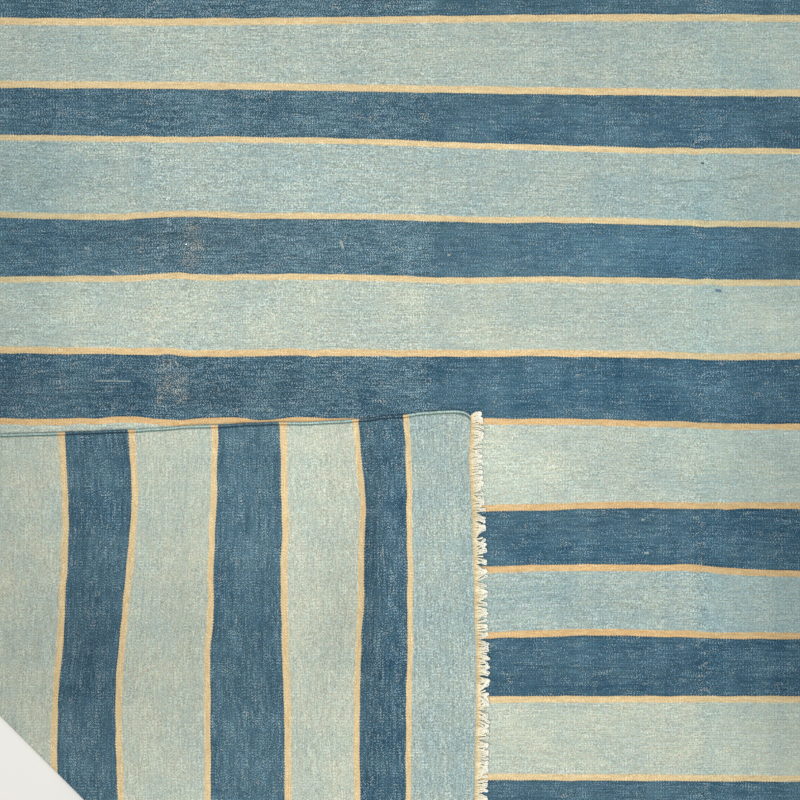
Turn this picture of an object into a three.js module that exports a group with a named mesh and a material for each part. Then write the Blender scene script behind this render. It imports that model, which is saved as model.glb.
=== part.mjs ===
// A flat-woven dhurrie rug that lies on the floor with its near left corner folded over, in millimetres, +Z up.
// X runs across the rug with the weft and Y along it with the warp. The origin is on the floor, under its middle.

import * as THREE from 'three';

const { lerp, mapLinear, smoothstep } = THREE.MathUtils;

// Woven cloth
const WIDTH = 2440;
const LENGTH = 3050;
const CLOTH_THICKNESS = 3;

// Selvedges: the cloth climbs to the middle of a cord that the weft wraps
const CORD_THICKNESS = 5.2;
const CORD_LIFT = (CORD_THICKNESS - CLOTH_THICKNESS) / 2;
const SELVEDGE_SECTION = [
  { inward: 0, thickness: 2.4, lift: CORD_LIFT },
  { inward: 1.6, thickness: CORD_THICKNESS, lift: CORD_LIFT },
  { inward: 4.6, thickness: CORD_THICKNESS, lift: CORD_LIFT },
  { inward: 6.6, thickness: CLOTH_THICKNESS, lift: CORD_LIFT },
  { inward: 45, thickness: CLOTH_THICKNESS, lift: 0 },
];

// Fringe of looped warp ends, in tufts on a narrow heading
const FRINGE_LENGTH = 20;
const FRINGE_THICKNESS = 2;
const FRINGE_CLEARANCE = 0.45;
const HEADING_DEPTH = 3;
const TUFTS_PER_END = 80;
const TUFT_BASE_SHARE = 0.76;
const TUFT_TIP_SHARE = 0.6;
const TUFTS = [
  { reach: 1, lean: 0 },
  { reach: 0.84, lean: 3 },
  { reach: 0.93, lean: -2 },
  { reach: 0.78, lean: -4 },
  { reach: 0.96, lean: 2 },
  { reach: 0.88, lean: 0 },
];

// Fold: the corner is turned over a straight line that meets both edges this far from it
const FOLD_LEG = 1321;
const LAYER_GAP = 1;
const FOLD_RADIUS = 5.5;
const FOLD_STEPS = 12;
const FLAP_DESCENT = [
  { back: 20, share: 0.86 },
  { back: 42, share: 0.52 },
  { back: 66, share: 0.17 },
  { back: 90, share: 0 },
];

// How far each edge of the cloth draws in from the rug's rectangle, measured along that edge
const LEFT_SELVEDGE = [
  { along: 0, inset: 7 },
  { along: 16, inset: -3 },
  { along: 30, inset: -5 },
  { along: 52, inset: -4 },
  { along: 84, inset: -2 },
  { along: 122, inset: 3 },
  { along: 146, inset: 4 },
  { along: 188, inset: 9.5 },
  { along: 236, inset: 13 },
  { along: 290, inset: 15.5 },
  { along: 330, inset: 15 },
  { along: 378, inset: 16.5 },
  { along: 436, inset: 20 },
  { along: 482, inset: 21 },
  { along: 533, inset: 25 },
  { along: 584, inset: 28 },
  { along: 664, inset: 31 },
  { along: 737, inset: 33.5 },
  { along: 805, inset: 35.5 },
  { along: 1000, inset: 40 },
  { along: 1200, inset: 33 },
  { along: 1420, inset: 19 },
  { along: 1660, inset: 8 },
  { along: 1900, inset: 0 },
  { along: 2200, inset: 7 },
  { along: 2500, inset: 13 },
  { along: 2800, inset: 6 },
  { along: 2990, inset: 1 },
  { along: 3050, inset: 7 },
];
const RIGHT_SELVEDGE = [
  { along: 0, inset: 9 },
  { along: 60, inset: 1 },
  { along: 300, inset: 6 },
  { along: 640, inset: 17 },
  { along: 1000, inset: 21 },
  { along: 1380, inset: 13 },
  { along: 1750, inset: 4 },
  { along: 2100, inset: 0 },
  { along: 2450, inset: 8 },
  { along: 2760, inset: 12 },
  { along: 2980, inset: 3 },
  { along: 3050, inset: 10 },
];
const NEAR_END = [
  { along: 0, inset: 4 },
  { along: 81, inset: 7 },
  { along: 133, inset: 4 },
  { along: 184, inset: 1 },
  { along: 322, inset: -2 },
  { along: 422, inset: -5 },
  { along: 720, inset: -2 },
  { along: 1000, inset: 4 },
  { along: 1300, inset: 7 },
  { along: 1560, inset: 3 },
  { along: 1780, inset: 0 },
  { along: 2060, inset: 0 },
  { along: 2280, inset: 4 },
  { along: 2440, inset: 7 },
];
const FAR_END = [
  { along: 0, inset: 6 },
  { along: 240, inset: 2 },
  { along: 520, inset: 0 },
  { along: 800, inset: 0 },
  { along: 1120, inset: 5 },
  { along: 1500, inset: 9 },
  { along: 1860, inset: 5 },
  { along: 2180, inset: 2 },
  { along: 2440, inset: 8 },
];
const STEPS_PER_ROW = 3;
const CORNER_REACH = 12;

// Colours and surfaces
const CLOTH_MATERIAL = new THREE.MeshStandardMaterial({ color: 0x8ba5ab, roughness: 0.95, metalness: 0 });
const FRINGE_MATERIAL = new THREE.MeshStandardMaterial({ color: 0xe8dcc0, roughness: 0.95, metalness: 0 });

// The rows of an edge with eased ones between them, so that its outline turns softly
function easedRows(rows) {
  const eased = [rows[0]];
  for (let row = 1; row < rows.length; row += 1) {
    for (let step = 1; step <= STEPS_PER_ROW; step += 1) {
      const share = step / STEPS_PER_ROW;
      eased.push({
        along: lerp(rows[row - 1].along, rows[row].along, share),
        inset: lerp(rows[row - 1].inset, rows[row].inset, smoothstep(share, 0, 1)),
      });
    }
  }
  return eased;
}

const LEFT_EDGE = easedRows(LEFT_SELVEDGE);
const RIGHT_EDGE = easedRows(RIGHT_SELVEDGE);
const NEAR_EDGE = easedRows(NEAR_END);
const FAR_EDGE = easedRows(FAR_END);

// The inset of an edge at any distance along it
function insetAt(edge, along) {
  const index = Math.max(1, edge.findIndex((row) => row.along >= along));
  const from = edge[index - 1];
  const to = edge[index];
  return mapLinear(along, from.along, to.along, from.inset, to.inset);
}

// The woven ends at a distance from the rug's left side
const nearEndAt = (u) => insetAt(NEAR_EDGE, u);
const farEndAt = (u) => LENGTH - insetAt(FAR_EDGE, u);

// A point of the flat cloth has its distance from the left side (u) and from the near end (v), half the
// thickness of the piece there, and how far it is lifted off the floor.

// A grid of points on one selvedge, a row for each station and a column for each line of its section
function selvedgeGrid(edge, uFromInset) {
  const clearOfCorners = ({ along }) => along > CORNER_REACH && along < LENGTH - CORNER_REACH;
  const rows = [edge[0], ...edge.filter(clearOfCorners), edge.at(-1)];
  return rows.map((row) => SELVEDGE_SECTION.map(({ inward, thickness, lift }) => {
    const u = uFromInset(row.inset + inward);
    let v = row.along;
    if (row === rows[0]) {
      v = nearEndAt(u);
    }
    if (row === rows.at(-1)) {
      v = farEndAt(u);
    }
    return { u, v, half: thickness / 2, lift };
  }));
}

// The four-sided cells of a grid of points
function cellsOf(grid) {
  const cells = [];
  for (let row = 1; row < grid.length; row += 1) {
    for (let column = 1; column < grid[row].length; column += 1) {
      cells.push([
        grid[row - 1][column - 1],
        grid[row - 1][column],
        grid[row][column],
        grid[row][column - 1],
      ]);
    }
  }
  return cells;
}

// Points of a woven end between the two selvedges
function endPoints(edge, vAt, from, to) {
  const inside = edge.filter(({ along }) => along > from.u && along < to.u);
  return inside.map(({ along }) => ({ u: along, v: vAt(along), half: CLOTH_THICKNESS / 2, lift: 0 }));
}

// The whole cloth as polygons laid out flat
function clothPolygons() {
  const left = selvedgeGrid(LEFT_EDGE, (inset) => inset);
  const right = selvedgeGrid(RIGHT_EDGE, (inset) => WIDTH - inset);
  const innerLeft = left.map((row) => row.at(-1));
  const innerRight = right.map((row) => row.at(-1));
  const nearEnd = endPoints(NEAR_EDGE, nearEndAt, innerLeft[0], innerRight[0]);
  const farEnd = endPoints(FAR_EDGE, farEndAt, innerLeft.at(-1), innerRight.at(-1));
  const field = [...nearEnd, ...innerRight, ...farEnd.reverse(), ...innerLeft.reverse()];
  return [field, ...cellsOf(left), ...cellsOf(right)];
}

// One fringe as polygons laid out flat: out is -1 at the near end and 1 at the far end
function fringePolygons(vAt, out, from, to) {
  const pitch = (to - from) / TUFTS_PER_END;
  const spare = pitch * (1 - TUFT_BASE_SHARE) / 2;
  const taper = pitch * (TUFT_BASE_SHARE - TUFT_TIP_SHARE) / 2;
  const point = (u, reach, lean = 0) => ({
    u: u + lean,
    v: vAt(u) + out * reach,
    half: FRINGE_THICKNESS / 2,
    lift: 0,
  });
  const stations = [from];
  const tufts = [];
  for (let index = 0; index < TUFTS_PER_END; index += 1) {
    const start = from + index * pitch + spare;
    const end = from + (index + 1) * pitch - spare;
    const { reach, lean } = TUFTS[index % TUFTS.length];
    stations.push(start, end);
    tufts.push([
      point(start, HEADING_DEPTH),
      point(end, HEADING_DEPTH),
      point(end - taper, FRINGE_LENGTH * reach, lean),
      point(start + taper, FRINGE_LENGTH * reach, lean),
    ]);
  }
  stations.push(to);
  const heading = stations.map((u) => [point(u, FRINGE_CLEARANCE), point(u, HEADING_DEPTH)]);
  return [...cellsOf(heading), ...tufts];
}

// How far a point of the flat cloth lies past the fold line, on the side of the corner
function pastFold(point) {
  return (FOLD_LEG - point.u - point.v) / Math.SQRT2;
}

// The middle line of the cloth across the fold: flat, round the bend, and down to where the flap lies
function foldSections() {
  const lying = CLOTH_THICKNESS / 2;
  const flapHeight = lying + CLOTH_THICKNESS + LAYER_GAP;
  const crest = lying + 2 * FOLD_RADIUS;
  const line = [];
  for (let step = 0; step <= FOLD_STEPS; step += 1) {
    const turn = Math.PI * step / FOLD_STEPS;
    const run = FOLD_RADIUS * Math.sin(turn);
    line.push(new THREE.Vector2(run, lying + FOLD_RADIUS * (1 - Math.cos(turn))));
  }
  for (const { back, share } of FLAP_DESCENT) {
    line.push(new THREE.Vector2(-back, lerp(flapHeight, crest, share)));
  }
  const lengths = [0];
  for (let index = 1; index < line.length; index += 1) {
    lengths.push(lengths[index - 1] + line[index].distanceTo(line[index - 1]));
  }
  const start = -(lengths.at(-1) + line.at(-1).x) / 2;
  const before = new THREE.Vector2(line[0].x - 1, line[0].y);
  const after = new THREE.Vector2(line.at(-1).x - 1, line.at(-1).y);
  const padded = [before, ...line, after];
  return line.map((point, index) => {
    const arriving = point.clone().sub(padded[index]).normalize();
    const leaving = padded[index + 2].clone().sub(point).normalize();
    const along = arriving.add(leaving).normalize();
    return {
      past: start + lengths[index],
      run: start + point.x,
      height: point.y,
      normal: new THREE.Vector2(-along.y, along.x),
    };
  });
}

const SECTIONS = foldSections();

// Where the middle of the cloth runs, how high, and which way it faces, at a distance past the fold line
function layAt(past) {
  const first = SECTIONS[0];
  const last = SECTIONS.at(-1);
  if (past <= first.past) {
    return { run: past, height: first.height, normal: new THREE.Vector2(0, 1) };
  }
  if (past >= last.past) {
    return { run: last.run - (past - last.past), height: last.height, normal: new THREE.Vector2(0, -1) };
  }
  const index = SECTIONS.findIndex((section) => section.past >= past);
  const from = SECTIONS[index - 1];
  const to = SECTIONS[index];
  const share = (past - from.past) / (to.past - from.past);
  return {
    run: lerp(from.run, to.run, share),
    height: lerp(from.height, to.height, share),
    normal: from.normal.clone().lerp(to.normal, share),
  };
}

// A point of the flat cloth in its place on the folded rug, on its face (1) or its back (-1)
function place(point, side) {
  const along = (point.u - point.v) / Math.SQRT2;
  const { run, height, normal } = layAt(pastFold(point));
  const across = run + side * point.half * normal.x;
  return [
    FOLD_LEG / 2 + (along - across) / Math.SQRT2,
    FOLD_LEG / 2 - (along + across) / Math.SQRT2,
    height + side * point.half * normal.y + point.lift,
  ];
}

// The point of an edge where it crosses a line, from its lower end to its higher one
function crossingPoint(low, high, lowDistance, highDistance) {
  const share = lowDistance / (lowDistance - highDistance);
  return {
    u: lerp(low.u, high.u, share),
    v: lerp(low.v, high.v, share),
    half: lerp(low.half, high.half, share),
    lift: lerp(low.lift, high.lift, share),
  };
}

// A polygon split along a line beside the fold
function splitPolygon(polygon, line) {
  const before = [];
  const after = [];
  polygon.forEach((point, index) => {
    const next = polygon[(index + 1) % polygon.length];
    const here = pastFold(point) - line;
    const there = pastFold(next) - line;
    if (here <= 0) {
      before.push(point);
    }
    if (here >= 0) {
      after.push(point);
    }
    if (here * there < 0) {
      const crossing = here < 0
        ? crossingPoint(point, next, here, there)
        : crossingPoint(next, point, there, here);
      before.push(crossing);
      after.push(crossing);
    }
  });
  return [before, after].filter((part) => part.length > 2);
}

// Triangles of a polygon, turned so that their face looks up while the cloth lies flat
function trianglesOf(polygon) {
  const contour = polygon.map(({ u, v }) => new THREE.Vector2(u, v));
  return THREE.ShapeUtils.triangulateShape(contour, []).map((corners) => {
    const flipped = THREE.ShapeUtils.area(corners.map((corner) => contour[corner])) < 0;
    const ordered = flipped ? [...corners].reverse() : corners;
    return ordered.map((corner) => polygon[corner]);
  });
}

// A closed body from flat polygons: its face, its back and a wall along every open edge, all folded into place
function foldedSlab(polygons) {
  let parts = polygons;
  for (const { past } of SECTIONS) {
    parts = parts.flatMap((polygon) => splitPolygon(polygon, past));
  }
  const positions = [];
  const numbers = new Map();
  const numberOf = (point) => {
    const name = `${point.u.toFixed(4)} ${point.v.toFixed(4)}`;
    if (!numbers.has(name)) {
      numbers.set(name, numbers.size);
      positions.push(...place(point, 1), ...place(point, -1));
    }
    return numbers.get(name);
  };
  const triangles = parts.flatMap(trianglesOf).map((triangle) => triangle.map(numberOf));
  const face = (number) => 2 * number;
  const back = (number) => 2 * number + 1;
  const indices = [];
  const edges = new Map();
  for (const [a, b, c] of triangles) {
    indices.push(face(a), face(b), face(c), back(c), back(b), back(a));
    for (const [from, to] of [[a, b], [b, c], [c, a]]) {
      edges.set(`${from} ${to}`, [from, to]);
    }
  }
  for (const [from, to] of edges.values()) {
    if (!edges.has(`${to} ${from}`)) {
      indices.push(back(from), back(to), face(to), back(from), face(to), face(from));
    }
  }
  const geometry = new THREE.BufferGeometry();
  geometry.setAttribute('position', new THREE.Float32BufferAttribute(positions, 3));
  geometry.setIndex(indices);
  geometry.computeVertexNormals();
  return geometry;
}

// A named sub-part
function piece(name, polygons, material) {
  const mesh = new THREE.Mesh(foldedSlab(polygons), material);
  mesh.name = name;
  return mesh;
}

const rug = new THREE.Group();
rug.position.set(-WIDTH / 2, -LENGTH / 2, 0);
rug.add(
  piece('rug_cloth', clothPolygons(), CLOTH_MATERIAL),
  piece(
    'fringe_near_end',
    fringePolygons(nearEndAt, -1, LEFT_SELVEDGE[0].inset, WIDTH - RIGHT_SELVEDGE[0].inset),
    FRINGE_MATERIAL,
  ),
  piece(
    'fringe_far_end',
    fringePolygons(farEndAt, 1, LEFT_SELVEDGE.at(-1).inset, WIDTH - RIGHT_SELVEDGE.at(-1).inset),
    FRINGE_MATERIAL,
  ),
);

export default rug;
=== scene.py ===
import logging
import math
from collections.abc import Sequence
from dataclasses import dataclass
from enum import Enum
from functools import cached_property

import bpy
import numpy as np
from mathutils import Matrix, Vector


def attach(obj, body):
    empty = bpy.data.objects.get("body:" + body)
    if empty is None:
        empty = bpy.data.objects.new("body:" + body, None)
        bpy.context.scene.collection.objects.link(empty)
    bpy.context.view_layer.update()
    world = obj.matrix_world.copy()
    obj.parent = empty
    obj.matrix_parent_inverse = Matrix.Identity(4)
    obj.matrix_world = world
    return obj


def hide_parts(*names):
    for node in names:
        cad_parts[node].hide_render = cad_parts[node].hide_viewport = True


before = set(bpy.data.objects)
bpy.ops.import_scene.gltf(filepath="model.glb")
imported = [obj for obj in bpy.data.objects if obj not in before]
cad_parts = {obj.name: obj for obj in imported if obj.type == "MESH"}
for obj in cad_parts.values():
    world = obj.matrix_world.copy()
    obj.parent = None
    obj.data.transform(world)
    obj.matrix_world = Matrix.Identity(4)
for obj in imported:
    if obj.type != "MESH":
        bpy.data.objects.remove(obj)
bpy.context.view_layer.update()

# A flat-woven dhurrie rug, lying on the floor with its near left corner folded over. Sizes are in millimetres of
# the flat cloth: u runs across the rug along the weft, and v along the warp from the near end. Meshes, lights and
# the camera are in metres, in the shared frame.
MM = 0.001
BODY = "root"

WIDTH = 2440.0
LENGTH = 3050.0
CLOTH_HALF = 1.5
TINY = 1e-12

Array = np.ndarray
Point = tuple[float, float]
log = logging.getLogger("dhurrie")


def smoothstep(x: Array, low: float, high: float) -> Array:
    """Eases from 0 at low to 1 at high."""
    share = np.clip((np.asarray(x, float) - low) / (high - low), 0, 1)
    return share * share * (3 - 2 * share)


def soft_curve(x: Array, stations: Sequence[float], heights: Sequence[float]) -> Array:
    """Runs a smooth curve through a few stations, held level outside them.

    Args:
        x: Where the curve is wanted.
        stations: The stations, rising.
        heights: The curve's height at each station.

    Returns:
        The height at each x.
    """
    xs, ys = np.asarray(stations, float), np.asarray(heights, float)
    slopes = np.gradient(ys, xs)
    x = np.clip(x, xs[0], xs[-1])
    index = np.clip(np.searchsorted(xs, x, side="right") - 1, 0, len(xs) - 2)
    gap = xs[index + 1] - xs[index]
    share = (x - xs[index]) / gap
    rise = smoothstep(share, 0, 1)
    leaving = share * (1 - share) ** 2 * gap * slopes[index]
    arriving = share ** 2 * (1 - share) * gap * slopes[index + 1]
    return ys[index] + (ys[index + 1] - ys[index]) * rise + leaving - arriving


@dataclass(frozen=True)
class Waver:
    """A small aimless waver along one direction, the same each run for the same seed."""

    reach: float
    shortest: float
    longest: float
    seed: int
    terms: int = 5

    def at(self, x: Array) -> Array:
        """Gives the waver at some places.

        Args:
            x: The places.

        Returns:
            The waver, about within plus and minus reach.
        """
        dice = np.random.default_rng(self.seed)
        total = np.zeros(np.shape(x))
        for spread in np.linspace(0, 1, self.terms):
            wavelength = self.shortest * (self.longest / self.shortest) ** spread * dice.uniform(0.85, 1.15)
            total += np.sin(2 * np.pi * (np.asarray(x, float) / wavelength + dice.random()))
        return self.reach * total / math.sqrt(self.terms)


@dataclass(frozen=True)
class Edge:
    """How far one edge of the cloth draws in from the rug's rectangle, measured along that edge."""

    along: tuple[float, ...]
    inset: tuple[float, ...]

    def at(self, along: Array) -> Array:
        """Gives the inset at some distances along the edge.

        Args:
            along: The distances.

        Returns:
            The inset, eased between the table's rows.
        """
        rows, depths = np.array(self.along, float), np.array(self.inset, float)
        along = np.clip(along, rows[0], rows[-1])
        index = np.clip(np.searchsorted(rows, along, side="right") - 1, 0, len(rows) - 2)
        share = smoothstep((along - rows[index]) / (rows[index + 1] - rows[index]), 0, 1)
        return depths[index] + (depths[index + 1] - depths[index]) * share


@dataclass(frozen=True)
class Outline:
    """The outline of the flat cloth, drawn in unevenly by the weaving."""

    left: Edge = Edge(
        along=(0, 16, 30, 52, 84, 122, 146, 188, 236, 290, 330, 378, 436, 482, 533, 584, 664, 737, 805,
               1000, 1200, 1420, 1660, 1900, 2200, 2500, 2800, 2990, 3050),
        inset=(7, -3, -5, -4, -2, 3, 4, 9.5, 13, 15.5, 15, 16.5, 20, 21, 25, 28, 31, 33.5, 35.5,
               40, 33, 19, 8, 0, 7, 13, 6, 1, 7),
    )
    right: Edge = Edge(
        along=(0, 60, 300, 640, 1000, 1380, 1750, 2100, 2450, 2760, 2980, 3050),
        inset=(9, 1, 6, 17, 21, 13, 4, 0, 8, 12, 3, 10),
    )
    near: Edge = Edge(
        along=(0, 81, 133, 184, 322, 422, 720, 1000, 1300, 1560, 1780, 2060, 2280, 2440),
        inset=(4, 7, 4, 1, -2, -5, -2, 4, 7, 3, 0, 0, 4, 7),
    )
    far: Edge = Edge(
        along=(0, 240, 520, 800, 1120, 1500, 1860, 2180, 2440),
        inset=(6, 2, 0, 0, 5, 9, 5, 2, 8),
    )
    side_reach: float = 240.0
    end_reach: float = 110.0

    def spread(self, a: Array, b: Array) -> tuple[Array, Array]:
        """Moves points of the rug's plain rectangle onto the cloth inside its real outline.

        Args:
            a: Distances across the rectangle.
            b: Distances along it.

        Returns:
            The points' u and v on the cloth.
        """
        v = b + self.near.at(a) * (1 - smoothstep(b, 0, self.end_reach))
        v = v - self.far.at(a) * (1 - smoothstep(LENGTH - b, 0, self.end_reach))
        u = a + self.left.at(v) * (1 - smoothstep(a, 0, self.side_reach))
        u = u - self.right.at(v) * (1 - smoothstep(WIDTH - a, 0, self.side_reach))
        return u, v


@dataclass(frozen=True)
class ClothSection:
    """The cloth's thickness: a corded selvedge at each side, and ends that thin out at their last picks."""

    inward: tuple[float, ...] = (0, 0.5, 1.3, 2.4, 3.4, 4.1, 4.7, 5.4, 6.3, 8.0)
    half: tuple[float, ...] = (0.45, 1.5, 2.3, 2.6, 2.3, 1.55, 0.95, 0.95, 1.35, CLOTH_HALF)
    cord_lift: float = 1.1
    lift_ends: float = 45.0
    end_inward: tuple[float, ...] = (0, 0.6, 1.8)
    end_half: tuple[float, ...] = (0.55, 1.15, CLOTH_HALF)

    def at(self, a: Array, b: Array) -> tuple[Array, Array]:
        """Gives half the thickness of the cloth, and how far its middle is lifted beside a cord.

        Args:
            a: Distances across the rug.
            b: Distances along it.

        Returns:
            The half thickness and the lift.
        """
        from_side = np.minimum(a, WIDTH - a)
        from_end = np.minimum(b, LENGTH - b)
        half = np.interp(from_side, self.inward, self.half)
        half = np.minimum(half, np.interp(from_end, self.end_inward, self.end_half) * half / CLOTH_HALF)
        lift = self.cord_lift * (1 - smoothstep(from_side, self.inward[-1], self.lift_ends))
        return half, lift


@dataclass(frozen=True)
class Swell:
    """One broad, shallow wave of cloth that doesn't lie quite flat."""

    height: float
    across: float
    along: float
    phase: float

    def at(self, x: Array, y: Array) -> Array:
        """Gives the wave's height at places on the floor, from 0 to its full height."""
        return self.height * (0.5 + 0.5 * np.cos(2 * np.pi * (x / self.across + y / self.along + self.phase)))


@dataclass(frozen=True)
class Lie:
    """How the flat cloth lies: on the floor, with one corner turned over a straight line, in shallow waves."""

    leg: float = 1321.0
    radius: float = 5.5
    flap_middle: float = 5.0
    descent: float = 90.0
    bend_steps: int = 14
    descent_steps: int = 10
    bend_points: int = 121
    descent_points: int = 91
    probe: float = 0.25
    swells: tuple[Swell, ...] = (
        Swell(0.9, 640, -2900, 0.1),
        Swell(0.6, -3100, 470, 0.65),
        Swell(0.5, 390, 720, 0.3),
        Swell(0.4, 260, -430, 0.8),
    )
    ruffles: tuple[Swell, ...] = (
        Swell(0.9, 310, 900, 0.55),
        Swell(0.6, -1300, 240, 0.2),
        Swell(0.35, 170, 330, 0.9),
    )

    @cached_property
    def bend(self) -> tuple[Array, Array, Array]:
        """The cloth's middle line across the fold: round the bend, then down to where the flap lies.

        Returns:
            The line's length, its run and its height at each step.
        """
        turns = np.linspace(0, math.pi, self.bend_points)
        backs = np.linspace(0, 1, self.descent_points)[1:]
        crest = CLOTH_HALF + 2 * self.radius
        runs = np.concatenate([self.radius * np.sin(turns), -self.descent * backs])
        falling = 0.5 + 0.5 * np.cos(math.pi * backs)
        heights = np.concatenate([
            CLOTH_HALF + self.radius * (1 - np.cos(turns)),
            self.flap_middle + (crest - self.flap_middle) * falling,
        ])
        lengths = np.concatenate([[0], np.cumsum(np.hypot(np.diff(runs), np.diff(heights)))])
        start = -(lengths[-1] + runs[-1]) / 2
        return start + lengths, start + runs, heights

    @cached_property
    def lines(self) -> Array:
        """Where the cloth is divided beside the fold.

        Returns:
            The lines' distances past the fold, rising.
        """
        past, _, _ = self.bend
        bend_ends = past[0] + math.pi * self.radius
        round_bend = np.linspace(past[0], bend_ends, self.bend_steps + 1)
        return np.concatenate([round_bend, np.linspace(bend_ends, past[-1], self.descent_steps + 1)[1:]])

    def past(self, u: Array, v: Array) -> Array:
        """Gives how far points lie past the fold line, on the side of the corner."""
        return (self.leg - u - v) / math.sqrt(2)

    def place(self, u: Array, v: Array, offset: Array, lift: Array) -> Array:
        """Puts points of the flat cloth in their place on the folded rug.

        Args:
            u: Distances across the cloth.
            v: Distances along it.
            offset: How far the points stand off the cloth's middle, towards its face.
            lift: How far they are raised off the floor besides.

        Returns:
            A row of three coordinates for each point, in metres.
        """
        past, along = self.past(u, v), (u - v) / math.sqrt(2)
        lengths, _, heights = self.bend
        ahead, behind = past + self.probe, past - self.probe
        rise = np.interp(ahead, lengths, heights) - np.interp(behind, lengths, heights)
        over = self.run_at(ahead) - self.run_at(behind)
        slope = np.hypot(rise, over)
        across = self.run_at(past) - offset * rise / slope
        x = self.leg / 2 + (along - across) / math.sqrt(2)
        y = self.leg / 2 - (along + across) / math.sqrt(2)
        z = np.interp(past, lengths, heights) + offset * over / slope + lift + self.floor_swell(x, y)
        z = z + self.flap_ruffle(x, y) * smoothstep(past, lengths[0], lengths[-1])
        return np.stack([x - WIDTH / 2, y - LENGTH / 2, z], axis=-1) * MM

    def run_at(self, past: Array) -> Array:
        """Gives how far points run across the fold line on the floor, from how far they lie past it."""
        lengths, runs, _ = self.bend
        return np.where(past < lengths[0], past, np.interp(past, lengths, runs)) - np.maximum(past - lengths[-1], 0)

    def floor_swell(self, x: Array, y: Array) -> Array:
        """Gives the height of the waves that every layer follows."""
        return sum(swell.at(x, y) for swell in self.swells)

    def flap_ruffle(self, x: Array, y: Array) -> Array:
        """Gives the height of the waves that only the turned-over corner has."""
        return sum(ruffle.at(x, y) for ruffle in self.ruffles)


class Ground(Enum):
    """The two yarns that the wide bands are woven in."""

    PALE = 1
    INDIGO = -1


@dataclass(frozen=True)
class CreamLine:
    """One thin tan line between two bands: where it runs, how wide it is, and the dye of the band beyond it."""

    v: float
    width: float
    dye_beyond: float
    stations: tuple[float, ...]
    sway: tuple[float, ...]


@dataclass(frozen=True)
class Kink:
    """A short bend in one thin line, where a few wefts were beaten down unevenly."""

    line_v: float
    u: float
    reach: float
    rise: float

    def at(self, u: Array) -> Array:
        """Gives how far the line is moved along the rug."""
        return self.rise * np.exp(-(((u - self.u) / self.reach) ** 2))


@dataclass(frozen=True)
class Join:
    """The rough seam where two weavers' stretches of cloth meet, and how it strays on its way along the rug."""

    u: float
    width: float
    along: tuple[float, ...]
    stray: tuple[float, ...]

    def nearness(self, u: Array, v: Array) -> Array:
        """Gives 1 on the seam, falling to 0 beside it."""
        off = u - self.u - soft_curve(v, self.along, self.stray)
        return np.exp(-((off / self.width) ** 2))


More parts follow.
